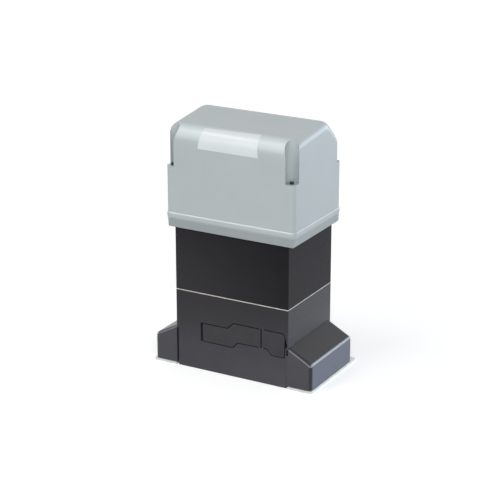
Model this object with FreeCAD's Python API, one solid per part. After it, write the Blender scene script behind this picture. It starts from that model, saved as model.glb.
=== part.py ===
import FreeCAD
import Part
import math
import os

# A sliding gate operator: two stacked castings on a foundation plate, a hood over the
# electronics, an oil bath worm gear inside and a rack pinion at the back.
# Frame: X along the gate, the release lever faces -Y, the pinion faces +Y, +Z up.
# The origin is the centre of the ground anchors under the foundation plate.

# Castings: their size follows from what they hold and the room left around it
case_wall = 6.0
case_edge_radius = 1.5
gasket_thickness = 1.3
motor_wall = 5.0
front_skirt_lift = 0.6
sump_depth = 8.0
wheel_headroom = 14.5
motor_headroom = 3.0
motor_side_room = 1.25
motor_depth_room = 5.0
duct_side_room = 3.75
duct_wheel_room = 3.0

# Foundation plate and feet
plate_thickness = 4.0
plate_side_lip = 1.0
plate_front_lip = 1.5
plate_back_reach = 9.0
plate_corner_radius = 3.0
anchor_spacing_x = 150.0
anchor_spacing_y = 90.0
anchor_hole_radius = 5.5
cable_hole_radius = 20.0
cable_hole_overlap = 7.0
foot_reach = 33.0
foot_thickness = 12.0
foot_inset = 10.0
foot_corner_radius = 10.0
foot_rib_height = 28.0
foot_rib_spacing = 13.0
stud_radius = 5.0
stud_inset = 18.3
stud_end_room = 16.0
stud_slot_length = 22.0
levelling_radius = 4.0
levelling_spacing_y = 44.0

# Foot covers
cover_foot_room = 5.95
cover_top_height = 65.0
cover_edge_height = 44.0
cover_back_inset = 2.5
cover_edge_radius = 7.0
cover_wall = 2.5
rebate_width = 3.0
left_rebate_width = 4.0
rebate_depth = 4.0

# Gear train
worm_module = 2.5
worm_pitch_radius = 14.0
worm_length = 62.0
wheel_teeth = 30
wheel_width = 16.0
pressure_angle = 20.0
flank_clearance = 0.35
shaft_radius = 14.0
journal_radius = 12.5
pinion_module = 4.0
pinion_teeth = 16
pinion_width = 31.0
pinion_standoff = 5.0
output_bearing_radius = 26.0
output_bearing_width = 15.0
seal_radius = 21.0
seal_width = 5.0
clutch_disc_thickness = 3.0
disc_spring_depth = 6.0
clutch_nut_depth = 8.0
clutch_nut_room = 4.0
wheel_hub_step = 3.0

# Motor
stator_yoke = 6.0
stator_height = 44.0
winding_thickness = 15.0
winding_bore_room = 3.4
winding_height = 13.5
winding_floor_room = 7.7
sleeve_wall = 5.0
rotor_radius = 30.0
air_gap = 0.6
small_bearing_radius = 17.5
small_bearing_width = 11.0
small_journal_radius = 7.5
middle_bearing_radius = 20.0
middle_bearing_width = 12.0
middle_journal_radius = 8.5
rotor_shaft_radius = 10.0

# Release lever, lock flap and lock
recess_depth = 8.0
lever_back_room = 1.6
lever_inset = 46.15
flap_inset = 1.75
flap_length = 43.9
outline_gap = 1.4
finger_gap = 3.0
pad_thickness = 7.0
lever_pin_radius = 1.5
flap_thickness = 3.0
flap_knuckle_radius = 1.8
flap_pin_radius = 0.8
release_travel = 3.0
fork_room = 5.0
rod_radius = 2.5
rod_offset = 7.0
lock_radius = 8.0
lock_inset = 23.0
lock_drop = 2.5

# Hood
hood_side_overhang = 11.55
hood_front_overhang = 6.1
hood_back_overhang = 5.1
hood_lap = 3.5
hood_height = 166.0
hood_front_drop = 9.6
hood_front_radius = 27.5
hood_ridge_setback = 43.4
hood_ridge_rise = 2.1
hood_ridge_radius = 37.0
hood_back_drop = 37.0
hood_back_radius = 24.0
hood_wall = 3.0
hood_edge_radius = 8.0
hood_top_radius = 14.0
skirt_height = 13.0
skirt_taper = 2.0
skirt_back_taper = 1.0
skirt_bottom_radius = 2.0
skirt_wall = 2.2
bead_height = 11.0
bead_proud = 1.3
bead_rounding = 3.5
pocket_radius = 10.5
pocket_inset = 8.6
ledge_drop = 71.5
hood_screw_head_radius = 3.2

# Board carrier and electronics
carrier_thickness = 3.5
carrier_gasket_thickness = 1.5
post_radius = 3.2
duct_radius = 10.0
duct_wall = 4.0
board_half_width = 72.0
board_height = 85.0
board_thickness = 1.6
button_travel = 0.5

# Clearances
running = 0.05
gap = 0.3
slide_gap = 0.4

# Worked out from the values above
worm_pitch = math.pi * worm_module
wheel_pitch_radius = worm_module * wheel_teeth / 2
wheel_tip_radius = wheel_pitch_radius + worm_module
centre_distance = worm_pitch_radius + wheel_pitch_radius
stator_bore_radius = rotor_radius + air_gap
winding_inner = stator_bore_radius + winding_bore_room
winding_outer = winding_inner + winding_thickness
stator_radius = winding_outer + stator_yoke
sleeve_radius = stator_radius + sleeve_wall
duct_outer_radius = duct_radius + duct_wall
hub_half = wheel_width / 2 + wheel_hub_step
motor_reach = sleeve_radius + motor_side_room + case_wall
duct_reach = duct_wheel_room + 2 * duct_outer_radius + duct_side_room
half_width = (motor_reach + centre_distance + wheel_tip_radius + duct_reach) / 2
clutch_reach = hub_half + clutch_disc_thickness + disc_spring_depth + clutch_nut_depth + clutch_nut_room
release_reach = fork_room + release_travel + output_bearing_width + pad_thickness + recess_depth
half_depth = max(clutch_reach + release_reach, sleeve_radius + motor_depth_room + motor_wall)
motor_axis_x = half_width - motor_reach
output_x = motor_axis_x - centre_distance
duct_x = output_x - wheel_tip_radius - duct_wheel_room - duct_outer_radius
cable_hole_x = duct_x - cable_hole_overlap + cable_hole_radius
case_floor = plate_thickness + foot_thickness
chamber_floor = case_floor + case_wall
output_height = chamber_floor + sump_depth + wheel_tip_radius
joint_height = output_height + wheel_tip_radius + wheel_headroom
motor_case_base = joint_height + gasket_thickness
motor_bearing_base = motor_case_base + 0.2
motor_bearing_top = motor_bearing_base + middle_bearing_width
middle_seal_top = motor_bearing_top + 6.0
stator_base = motor_case_base + case_wall + winding_floor_room + winding_height
stator_top = stator_base + stator_height
shield_base = stator_top + winding_height + 1.5
top_bearing_base = shield_base + 1.0
top_bearing_top = top_bearing_base + small_bearing_width
shield_hub_top = top_bearing_top + 2.0
motor_case_top = shield_hub_top + motor_headroom
foot_half = half_depth - foot_inset
cover_reach = foot_reach + cover_foot_room
pinion_back = half_depth + pinion_standoff + pinion_width
lever_thickness = recess_depth - lever_back_room
lever_left = -half_width + lever_inset
flap_right = half_width - flap_inset
lever_split = flap_right - flap_length
lock_x = flap_right - lock_inset
lock_height = output_height - lock_drop
lever_pivot_x = lever_split - outline_gap / 2 + 0.2 - lever_thickness / 2
lever_pivot_y = -half_depth + lever_thickness / 2
flap_pivot_x = lever_split + outline_gap / 2 - 0.2 + flap_knuckle_radius
flap_pivot_y = -half_depth + flap_knuckle_radius
hood_half_width = half_width + hood_side_overhang
hood_front = half_depth + hood_front_overhang
hood_back = half_depth + hood_back_overhang
hood_base = motor_case_top - hood_lap
hood_top = hood_base + hood_height
ledge_height = hood_top - ledge_drop
carrier_base = motor_case_top + carrier_gasket_thickness
carrier_top = carrier_base + carrier_thickness
pad_back = -half_depth + recess_depth + pad_thickness
front_bearing_back = pad_back + output_bearing_width
stud_x = half_width + stud_inset
stud_y = foot_half - stud_end_room


def vec(x, y, z):
    return FreeCAD.Vector(x, y, z)


def block(x0, x1, y0, y1, z0, z1):
    return Part.makeBox(x1 - x0, y1 - y0, z1 - z0, vec(x0, y0, z0))


def rod_y(radius, y0, y1, x, z):
    return Part.makeCylinder(radius, y1 - y0, vec(x, y0, z), vec(0, 1, 0))


def rod_z(radius, z0, z1, x, y):
    return Part.makeCylinder(radius, z1 - z0, vec(x, y, z0), vec(0, 0, 1))


def on_xy(z):
    return lambda u, v: vec(u, v, z)


def on_xz(y):
    return lambda u, v: vec(u, y, v)


def on_yz(x):
    return lambda u, v: vec(x, u, v)


def rounded_wire(corners, place):
    """A closed outline through corners (u, v, radius), with tangent arcs at the rounded ones."""
    starts = []
    ends = []
    middles = []
    count = len(corners)
    for i in range(count):
        u, v, radius = corners[i]
        before = corners[i - 1]
        after = corners[(i + 1) % count]
        point = vec(u, v, 0)
        to_before = (vec(before[0], before[1], 0) - point).normalize()
        to_after = (vec(after[0], after[1], 0) - point).normalize()
        half_angle = to_before.getAngle(to_after) / 2
        if radius > 0:
            reach = radius / math.tan(half_angle)
            bisector = (to_before + to_after).normalize()
            starts.append(point + to_before * reach)
            ends.append(point + to_after * reach)
            middles.append(point + bisector * (radius / math.sin(half_angle) - radius))
        else:
            starts.append(point)
            ends.append(point)
            middles.append(None)
    edges = []
    for i in range(count):
        following = (i + 1) % count
        if middles[i] is not None:
            arc = [place(p.x, p.y) for p in (starts[i], middles[i], ends[i])]
            edges.append(Part.Arc(arc[0], arc[1], arc[2]).toShape())
        a = ends[i]
        b = starts[following]
        if (b - a).Length > 1e-6:
            edges.append(Part.makeLine(place(a.x, a.y), place(b.x, b.y)))
    return Part.Wire(edges)


def prism(corners, place, along):
    return Part.Face(rounded_wire(corners, place)).extrude(along)


def rounded_block(x0, x1, y0, y1, z0, z1, radius):
    corners = [(x0, y0, radius), (x1, y0, radius), (x1, y1, radius), (x0, y1, radius)]
    return prism(corners, on_xy(z0), vec(0, 0, z1 - z0))


def hexagon(across_flats, place, along):
    radius = across_flats / math.sqrt(3)
    corners = []
    for i in range(6):
        angle = math.radians(60 * i)
        corners.append((radius * math.cos(angle), radius * math.sin(angle), 0))
    return prism(corners, place, along)


def joined(shapes):
    result = shapes[0]
    for shape in shapes[1:]:
        result = result.fuse(shape)
    return result.removeSplitter()


def without(shape, cutters):
    return shape.cut(cutters)


def mirrored_x(shape):
    return shape.mirror(vec(0, 0, 0), vec(1, 0, 0))


def ring_y(outer, inner, y0, y1, x, z):
    return rod_y(outer, y0, y1, x, z).cut(rod_y(inner, y0 - 1, y1 + 1, x, z))


def ring_z(outer, inner, z0, z1, x, y):
    return rod_z(outer, z0, z1, x, y).cut(rod_z(inner, z0 - 1, z1 + 1, x, y))


def four_places(x, y):
    return [(sx * x, sy * y) for sx in (-1, 1) for sy in (-1, 1)]


os.makedirs("parts", exist_ok=True)


def save(name, shape):
    shape.exportStep("parts/" + name + ".step")


# Foundation plate
plate_half = half_width + cover_reach + plate_side_lip
plate_front = -half_depth - plate_front_lip
plate_back = half_depth + plate_back_reach


def foundation_plate():
    plate = rounded_block(-plate_half, plate_half, plate_front, plate_back,
                          0, plate_thickness, plate_corner_radius)
    notch_half = half_width + 0.5
    notch_back = -half_depth + case_wall + 0.5
    cutters = [block(-notch_half, notch_half, plate_front - 1, notch_back, -1, plate_thickness + 1)]
    for x, y in four_places(anchor_spacing_x / 2, anchor_spacing_y / 2):
        cutters.append(rod_z(anchor_hole_radius, -1, plate_thickness + 1, x, y))
    cutters.append(rod_z(cable_hole_radius, -1, plate_thickness + 1, cable_hole_x, 0))
    return without(plate, cutters)


save("foundation_plate", foundation_plate())

# Studs, washers, nuts and levelling screws that hold the feet on the plate
washer_thickness = 2.0
washer_radius = 10.5
nut_height = 8.0
nut_across_flats = 16.0
stud_top = case_floor + washer_thickness + nut_height + 6.0


def anchor_studs():
    return [rod_z(stud_radius, plate_thickness, stud_top, x, y) for x, y in four_places(stud_x, stud_y)]


def foot_washers():
    hole = stud_radius + 0.4
    top = case_floor + washer_thickness
    return [ring_z(washer_radius, hole, case_floor, top, x, y) for x, y in four_places(stud_x, stud_y)]


def foot_nuts():
    nuts = []
    base = case_floor + washer_thickness
    for x, y in four_places(stud_x, stud_y):
        nut = hexagon(nut_across_flats, lambda u, v: vec(x + u, y + v, base), vec(0, 0, nut_height))
        nuts.append(nut.cut(rod_z(stud_radius + running, base - 1, base + nut_height + 1, x, y)))
    return nuts


def levelling_screws():
    top = case_floor + 5.0
    socket = 2.0
    screws = []
    for x, y in four_places(stud_x, levelling_spacing_y / 2):
        screw = rod_z(levelling_radius, plate_thickness, top, x, y)
        key = hexagon(2 * socket, lambda u, v: vec(x + u, y + v, top - 3.0), vec(0, 0, 4.0))
        screws.append(screw.cut(key))
    return screws


save("anchor_studs", Part.makeCompound(anchor_studs()))
save("foot_washers", Part.makeCompound(foot_washers()))
save("foot_nuts", Part.makeCompound(foot_nuts()))
save("levelling_screws", Part.makeCompound(levelling_screws()))

# Outline of the lever and flap on the front of the gear case. The lever's points lie to the
# right of its left end, the flap's to the left of its right end: (distance, rise, corner radius)
lever_upper_edge = [(0.0, 7.1, 0.6), (44.3, 7.3, 0.6), (54.3, 17.0, 0.6)]
flap_edge = [(4.8, 17.0, 6.0), (0.0, -2.0, 0.0), (3.4, -6.0, 0.0), (4.0, -21.6, 1.5),
             (25.3, -21.6, 0.6), (34.6, -12.6, 0.6)]
lever_lower_edge = [(61.5, -13.5, 0.6), (53.1, -22.5, 0.6), (0.0, -22.1, 0.6)]
eye_base = output_height - 12.1
eye_top = output_height + 16.2
pin_reach = 5.4


def front_outline():
    corners = [(lever_left + u, output_height + v, radius) for u, v, radius in lever_upper_edge]
    corners += [(flap_right - u, output_height + v, radius) for u, v, radius in flap_edge]
    corners += [(lever_left + u, output_height + v, radius) for u, v, radius in lever_lower_edge]
    return corners


def moved_outline(distance):
    """The front outline offset by distance, outwards where it is positive."""
    wire = rounded_wire(front_outline(), on_xy(0))
    face = Part.Face(wire.makeOffset2D(distance, 2))
    face.rotate(vec(0, 0, 0), vec(1, 0, 0), 90)
    return face


def front_prism(distance, y0, y1):
    face = moved_outline(distance)
    face.translate(vec(0, y1 - face.CenterOfMass.y, 0))
    return face.extrude(vec(0, y0 - y1, 0))


# Gear case
worm_top = output_height + worm_length / 2
worm_base = output_height - worm_length / 2
lower_bearing_top = chamber_floor + 8.0
lower_bearing_base = lower_bearing_top - small_bearing_width
bolt_x = half_width - case_wall - 6.0
bolt_y = half_depth - case_wall - 6.0
bolt_radius = 3.0
bolt_boss_radius = 8.0
back_bearing_back = half_depth - seal_width
back_bearing_front = back_bearing_back - output_bearing_width
output_boss_radius = output_bearing_radius + 7.0
lock_boss_back = pad_back + 10.0
lock_boss_half = lock_radius + 4.0
plug_radius = 6.0
plug_inset = 41.75
plug_x = half_width - plug_inset
plug_heights = (chamber_floor + 12.0, joint_height - 22.5)


def gear_case_body():
    inner_x = half_width - case_wall
    inner_y = half_depth - case_wall
    outer = rounded_block(-half_width, half_width, -half_depth, half_depth,
                          plate_thickness, joint_height, case_edge_radius)
    skirt = rounded_block(-half_width, half_width, -half_depth, -inner_y + 0.001,
                          front_skirt_lift, plate_thickness + case_wall, case_edge_radius)
    skirt = skirt.fuse(block(-half_width, half_width, -half_depth + 2, -inner_y,
                             front_skirt_lift, plate_thickness + case_wall))
    chamber = block(-inner_x, inner_x, -inner_y, inner_y, chamber_floor, joint_height + 1)
    hollow = block(-inner_x, inner_x, -inner_y, inner_y, -1, case_floor)
    return without(joined([outer, skirt]), [chamber, hollow])


def case_foot():
    x0 = half_width - case_wall
    x1 = half_width + foot_reach
    corners = [(x0, -foot_half, 0), (x1, -foot_half, foot_corner_radius),
               (x1, foot_half, foot_corner_radius), (x0, foot_half, 0)]
    foot = prism(corners, on_xy(plate_thickness), vec(0, 0, foot_thickness))
    root = half_width - 1
    for y in (-foot_rib_spacing, 0, foot_rib_spacing):
        rib = prism([(root, case_floor, 0), (half_width + foot_reach - 8, case_floor, 0),
                     (root, case_floor + foot_rib_height, 0)],
                    on_xz(y - case_wall / 2), vec(0, case_wall, 0))
        foot = foot.fuse(rib)
    cutters = []
    for y in (-stud_y, stud_y):
        straight = stud_slot_length / 2 - stud_radius - 0.5
        radius = stud_radius + 0.5
        top = case_floor + 1
        cutters.append(rod_z(radius, plate_thickness - 1, top, stud_x, y - straight))
        cutters.append(rod_z(radius, plate_thickness - 1, top, stud_x, y + straight))
        cutters.append(block(stud_x - radius, stud_x + radius, y - straight, y + straight,
                             plate_thickness - 1, top))
    for y in (-levelling_spacing_y / 2, levelling_spacing_y / 2):
        cutters.append(rod_z(levelling_radius + running, plate_thickness - 1, case_floor + 40, stud_x, y))
    return without(foot, cutters)


def gear_case():
    inner_x = half_width - case_wall
    inner_y = half_depth - case_wall
    lever_pad = block(lever_left - 9, inner_x, -inner_y, pad_back, output_height - 30, output_height + 27)
    front_boss = rod_y(output_boss_radius, pad_back, front_bearing_back, output_x, output_height)
    back_boss = rod_y(output_boss_radius, back_bearing_front, inner_y, output_x, output_height)
    worm_boss = rod_z(small_bearing_radius + 4.5, chamber_floor, lower_bearing_top, motor_axis_x, 0)
    duct = rod_z(duct_outer_radius, chamber_floor, joint_height, duct_x, 0)
    lock_boss = rod_y(lock_boss_half, pad_back, lock_boss_back, lock_x, lock_height)
    parts = [gear_case_body(), lever_pad, front_boss, back_boss, worm_boss, duct, lock_boss]
    for x, y in four_places(bolt_x, bolt_y):
        parts.append(rod_z(bolt_boss_radius, chamber_floor, joint_height, x, y))
    foot = case_foot()
    parts.append(foot)
    parts.append(mirrored_x(foot))
    for z in plug_heights:
        parts.append(rod_y(plug_radius + 4.5, inner_y - 4, half_depth, plug_x, z))
    case = joined(parts)
    cutters = [
        front_prism(outline_gap / 2, -half_depth - 1, -half_depth + recess_depth),
        block(lever_left - finger_gap, lever_left + 5, -half_depth - 1, -half_depth + recess_depth,
              output_height - 22.8, output_height + 7.8),
        rod_y(output_bearing_radius + running, pad_back, front_bearing_back + 1, output_x, output_height),
        rod_y(output_bearing_radius + running, back_bearing_front - 1, back_bearing_back,
              output_x, output_height),
        rod_y(seal_radius + running, back_bearing_back - 1, half_depth + 1, output_x, output_height),
        rod_z(small_bearing_radius + running, lower_bearing_base, lower_bearing_top + 1, motor_axis_x, 0),
        rod_z(duct_radius, -1, joint_height + 1, duct_x, 0),
        rod_y(rod_radius + 2 * running, -half_depth, pad_back + 1, lever_pivot_x - rod_offset, output_height),
        rod_y(lock_radius + running, -half_depth, lock_boss_back - 3, lock_x, lock_height),
        rod_z(lever_pin_radius + running, eye_base - pin_reach - gap, eye_top + pin_reach + gap,
              lever_pivot_x, lever_pivot_y),
        rod_z(flap_pin_radius + running, eye_base - pin_reach - gap, eye_top + pin_reach + gap,
              flap_pivot_x, flap_pivot_y),
    ]
    for x, y in four_places(bolt_x, bolt_y):
        cutters.append(rod_z(bolt_radius + running, joint_height - 26, joint_height + 1, x, y))
    for z in plug_heights:
        cutters.append(rod_y(plug_radius + running, inner_y - 5, half_depth + 1, plug_x, z))
    for side in (-1, 1):
        edge = side * half_width
        inner = edge - side * (rebate_width if side > 0 else left_rebate_width)
        low, high = sorted((edge + side, inner))
        cutters.append(block(low, high, -half_depth - 1, -half_depth + rebate_depth, 0, cover_top_height - 3))
    return without(case, cutters)


save("gear_case", gear_case())


def case_gasket():
    inner_x = half_width - case_wall
    inner_y = half_depth - case_wall
    base = joint_height
    top = motor_case_base
    frame = rounded_block(-half_width, half_width, -half_depth, half_depth, base, top, case_edge_radius)
    frame = frame.cut(block(-inner_x, inner_x, -inner_y, inner_y, base - 1, top + 1))
    pads = [frame]
    for x, y in four_places(bolt_x, bolt_y):
        pads.append(rod_z(bolt_boss_radius, base, top, x, y))
    pads.append(rod_z(duct_outer_radius, base, top, duct_x, 0))
    pads.append(block(-inner_x - 1, duct_x, -3, 3, base, top))
    cutters = [rod_z(duct_radius, base - 1, top + 1, duct_x, 0)]
    for x, y in four_places(bolt_x, bolt_y):
        cutters.append(rod_z(bolt_radius + gap, base - 1, top + 1, x, y))
    return without(joined(pads), cutters)


save("case_gasket", case_gasket())


# Lever and flap in the front recess
def lever_blank():
    return front_prism(-outline_gap / 2, -half_depth, -half_depth + lever_thickness)


def release_lever():
    blank = lever_blank()
    low = output_height - 30
    high = output_height + 30
    back = -half_depth + lever_thickness
    lever = blank.common(block(lever_left - 1, lever_pivot_x, -half_depth - 1, back + 1, low, high))
    lever = lever.fuse(rod_z(lever_thickness / 2, eye_base, eye_top, lever_pivot_x, lever_pivot_y))
    grip = rod_z(2.4, output_height - 18, output_height + 3, lever_left + 0.6, back + 0.4)
    pin_hole = rod_z(lever_pin_radius + running, low, high, lever_pivot_x, lever_pivot_y)
    relief = block(lever_left + 20, lever_pivot_x - 17, back - 2.2, back + 1,
                   output_height - 8, output_height + 2)
    return without(lever.removeSplitter(), [grip, pin_hole, relief])


def lock_flap():
    blank = front_prism(-outline_gap / 2, -half_depth, -half_depth + flap_thickness)
    low = output_height - 30
    high = output_height + 30
    flap = blank.common(block(flap_pivot_x, flap_right - 4.0, -half_depth - 1,
                              -half_depth + flap_thickness + 1, low, high))
    knuckle = rod_z(flap_knuckle_radius, eye_base + 0.5, eye_top, flap_pivot_x, flap_pivot_y)
    pin_hole = rod_z(flap_pin_radius + running, low, high, flap_pivot_x, flap_pivot_y)
    return without(flap.fuse(knuckle).removeSplitter(), [pin_hole])


def lock_barrel():
    front = -half_depth + recess_depth - 1.5
    back = lock_boss_back - 4
    barrel = rod_y(lock_radius, front, back, lock_x, lock_height)
    keyway = block(lock_x - 1.2, lock_x + 1.2, front - 1, front + 10, lock_height - 4.5, lock_height + 4.5)
    ring = ring_y(lock_radius + 1, 5.5, front - 1, front + 0.6, lock_x, lock_height)
    return without(barrel, [keyway, ring])


save("release_lever", release_lever())
save("lever_pin", rod_z(lever_pin_radius, eye_base - pin_reach, eye_top + pin_reach,
                        lever_pivot_x, lever_pivot_y))
save("lock_flap", lock_flap())
save("flap_pin", rod_z(flap_pin_radius, eye_base - pin_reach, eye_top + pin_reach,
                       flap_pivot_x, flap_pivot_y))
save("lock_barrel", lock_barrel())

# Release rod and fork
fork_thickness = 4.0
fork_back = front_bearing_back + release_travel + fork_room
fork_front = fork_back - fork_thickness
rod_x_place = lever_pivot_x - rod_offset


def release_rod():
    front = -half_depth + lever_thickness + gap
    collar = rod_y(rod_radius + 2, fork_front - 2, fork_front, rod_x_place, output_height)
    return joined([rod_y(rod_radius, front, fork_back + 3, rod_x_place, output_height), collar])


def release_fork():
    plate = joined([
        rod_y(shaft_radius + 8, fork_front, fork_back, output_x, output_height),
        block(output_x, rod_x_place, fork_front, fork_back, output_height - 5, output_height + 5),
        rod_y(rod_radius + 4.5, fork_front, fork_back, rod_x_place, output_height),
    ])
    mouth_half = shaft_radius + 0.6
    cutters = [
        rod_y(mouth_half, fork_front - 1, fork_back + 1, output_x, output_height),
        block(output_x - mouth_half, output_x + mouth_half, fork_front - 1, fork_back + 1,
              output_height - 40, output_height),
        rod_y(rod_radius + running, fork_front - 1, fork_back + 1, rod_x_place, output_height),
    ]
    return without(plate, cutters)


save("release_rod", release_rod())
save("release_fork", release_fork())


# Gears
def involute_point(base_radius, radius):
    """Polar angle of the involute of base_radius where it reaches radius."""
    ratio = max(radius / base_radius, 1.0)
    roll = math.sqrt(ratio * ratio - 1)
    return roll - math.atan(roll)


def gear_wire(module, teeth, slack, place, turn):
    """Outline of a spur gear with a tooth space on the angle turn."""
    pitch_radius = module * teeth / 2
    base_radius = pitch_radius * math.cos(math.radians(pressure_angle))
    tip_radius = pitch_radius + module
    root_radius = pitch_radius - 1.25 * module
    half_tooth = (math.pi * module / 2 - slack) / 2 / pitch_radius
    at_pitch = involute_point(base_radius, pitch_radius)
    flank_start = max(base_radius, root_radius)
    flank_middle = (flank_start + tip_radius) / 2

    def half_angle(radius):
        return half_tooth + at_pitch - involute_point(base_radius, radius)

    def at(radius, angle):
        return place(radius * math.cos(angle), radius * math.sin(angle))

    edges = []
    step = 2 * math.pi / teeth
    for i in range(teeth):
        middle = turn + (i + 0.5) * step
        wide = half_angle(flank_start)
        a_root = at(root_radius, middle - wide)
        a_start = at(flank_start, middle - wide)
        a_mid = at(flank_middle, middle - half_angle(flank_middle))
        a_tip = at(tip_radius, middle - half_angle(tip_radius))
        top = at(tip_radius, middle)
        b_tip = at(tip_radius, middle + half_angle(tip_radius))
        b_mid = at(flank_middle, middle + half_angle(flank_middle))
        b_start = at(flank_start, middle + wide)
        b_root = at(root_radius, middle + wide)
        space_middle = at(root_radius, middle + step / 2)
        next_root = at(root_radius, middle + step - wide)
        if (a_start - a_root).Length > 1e-4:
            edges.append(Part.makeLine(a_root, a_start))
        edges.append(Part.Arc(a_start, a_mid, a_tip).toShape())
        edges.append(Part.Arc(a_tip, top, b_tip).toShape())
        edges.append(Part.Arc(b_tip, b_mid, b_start).toShape())
        if (b_root - b_start).Length > 1e-4:
            edges.append(Part.makeLine(b_start, b_root))
        edges.append(Part.Arc(b_root, space_middle, next_root).toShape())
    return Part.Wire(edges)


clutch_front = -hub_half - clutch_disc_thickness
clutch_back = hub_half + clutch_disc_thickness
collar_depth = 5.0
clutch_radius = 31.0
collar_radius = 24.0


def worm_wheel():
    """A bronze wheel whose teeth lean with the worm thread and meet it in the plane Y = 0."""
    half = wheel_width / 2
    lean = worm_module / 2 / worm_pitch_radius * half / wheel_pitch_radius
    wires = []
    for y, turn in ((-half, -lean), (half, lean)):
        place = lambda u, v, y=y: vec(output_x + u, y, output_height - v)
        wires.append(gear_wire(worm_module, wheel_teeth, flank_clearance, place, turn))
    rim = Part.makeLoft(wires, True, True)
    hub = rod_y(collar_radius, -hub_half, hub_half, output_x, output_height)
    wheel = rim.fuse(hub)
    cutters = [rod_y(shaft_radius + running, -hub_half - 1, hub_half + 1, output_x, output_height)]
    for side in (-1, 1):
        face = side * half
        y0 = min(face, face - side * 3)
        y1 = max(face, face - side * 3)
        groove = ring_y(clutch_radius + 0.5, collar_radius, y0 - (1 if side < 0 else 0),
                        y1 + (1 if side > 0 else 0), output_x, output_height)
        cutters.append(groove)
    return without(wheel, cutters)


def worm_thread():
    """One helical thread with straight flanks in the axial plane, its crest at the wheel's height."""
    root = worm_pitch_radius - 1.25 * worm_module
    tip = worm_pitch_radius + worm_module
    slope = math.tan(math.radians(pressure_angle))
    half_pitch_width = (worm_pitch / 2 - flank_clearance / 2) / 2
    sunk = root - 0.4
    half_root = half_pitch_width + (worm_pitch_radius - sunk) * slope
    half_tip = half_pitch_width - (tip - worm_pitch_radius) * slope
    turns = int(worm_length / worm_pitch) - 1
    start = output_height - (turns / 2) * worm_pitch - worm_pitch / 2
    helix = Part.makeHelix(worm_pitch, turns * worm_pitch, worm_pitch_radius)
    helix.translate(vec(0, 0, start))
    profile = Part.makePolygon([
        vec(sunk, 0, start - half_root), vec(tip, 0, start - half_tip),
        vec(tip, 0, start + half_tip), vec(sunk, 0, start + half_root),
        vec(sunk, 0, start - half_root),
    ])
    thread = Part.Wire(helix).makePipeShell([profile], True, True)
    thread.translate(vec(motor_axis_x, 0, 0))
    return thread


def worm_shaft():
    root = worm_pitch_radius - 1.25 * worm_module
    steps = [
        (small_journal_radius, lower_bearing_base + 0.5, lower_bearing_top),
        (small_journal_radius + 2, lower_bearing_top, worm_base),
        (root, worm_base, worm_top),
        (middle_journal_radius + 1, worm_top, motor_bearing_base),
        (middle_journal_radius, motor_bearing_base, motor_bearing_top),
        (rotor_shaft_radius, motor_bearing_top, top_bearing_base),
        (small_journal_radius, top_bearing_base, top_bearing_top),
    ]
    shaft = joined([rod_z(radius, z0, z1, motor_axis_x, 0) for radius, z0, z1 in steps])
    return shaft.fuse(worm_thread())


save("worm_shaft", worm_shaft())
save("worm_wheel", worm_wheel())


def bearing(outer, inner, width, axis):
    """A sealed ball bearing: two races and recessed shields, as one solid on the given axis."""
    body = Part.makeCylinder(outer, width).cut(Part.makeCylinder(inner, width))
    mean = (outer + inner) / 2
    half_groove = (outer - inner) * 0.22
    groove = Part.makeCylinder(mean + half_groove, 0.8).cut(Part.makeCylinder(mean - half_groove, 0.8))
    far = groove.copy()
    far.translate(vec(0, 0, width - 0.8))
    body = body.cut([groove, far])
    if axis == "y":
        body.rotate(vec(0, 0, 0), vec(1, 0, 0), -90)
    return body


def placed(shape, x, y, z):
    shape.translate(vec(x, y, z))
    return shape


small_inner = small_journal_radius + running
save("lower_bearing", placed(bearing(small_bearing_radius, small_inner, small_bearing_width, "z"),
                             motor_axis_x, 0, lower_bearing_base))
save("middle_bearing", placed(bearing(middle_bearing_radius, middle_journal_radius + running,
                                      middle_bearing_width, "z"),
                              motor_axis_x, 0, motor_bearing_base))
save("upper_bearing", placed(bearing(small_bearing_radius, small_inner, small_bearing_width, "z"),
                             motor_axis_x, 0, top_bearing_base))
save("shaft_seal", ring_z(small_bearing_radius, rotor_shaft_radius + running, motor_bearing_top,
                          middle_seal_top, motor_axis_x, 0))
save("output_bearings", Part.makeCompound([
    placed(bearing(output_bearing_radius, journal_radius + running, output_bearing_width, "y"),
           output_x, pad_back, output_height),
    placed(bearing(output_bearing_radius, journal_radius + running, output_bearing_width, "y"),
           output_x, back_bearing_front, output_height),
]))
save("output_seal", ring_y(seal_radius, journal_radius + running, back_bearing_back, half_depth,
                           output_x, output_height))

# Output shaft, clutch, pinion
key_width = 8.0
key_height = 7.0
key_front = half_depth + pinion_standoff + 2.0
key_back = pinion_back - 2.0
key_base = output_height + journal_radius - 4.0
pinion_screw_radius = 4.0
pinion_washer_thickness = 3.0
pinion_head_height = 8.7


def output_shaft():
    steps = [
        (journal_radius, pad_back + 0.5, front_bearing_back),
        (shaft_radius, front_bearing_back, back_bearing_front),
        (journal_radius, back_bearing_front, pinion_back),
        (collar_radius, clutch_back, clutch_back + collar_depth),
    ]
    shaft = joined([rod_y(radius, y0, y1, output_x, output_height) for radius, y0, y1 in steps])
    cutters = [
        block(output_x - key_width / 2, output_x + key_width / 2, key_front, key_back,
              key_base, key_base + 20),
        rod_y(pinion_screw_radius + running, pinion_back - 24, pinion_back + 1, output_x, output_height),
    ]
    return without(shaft, cutters)


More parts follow.
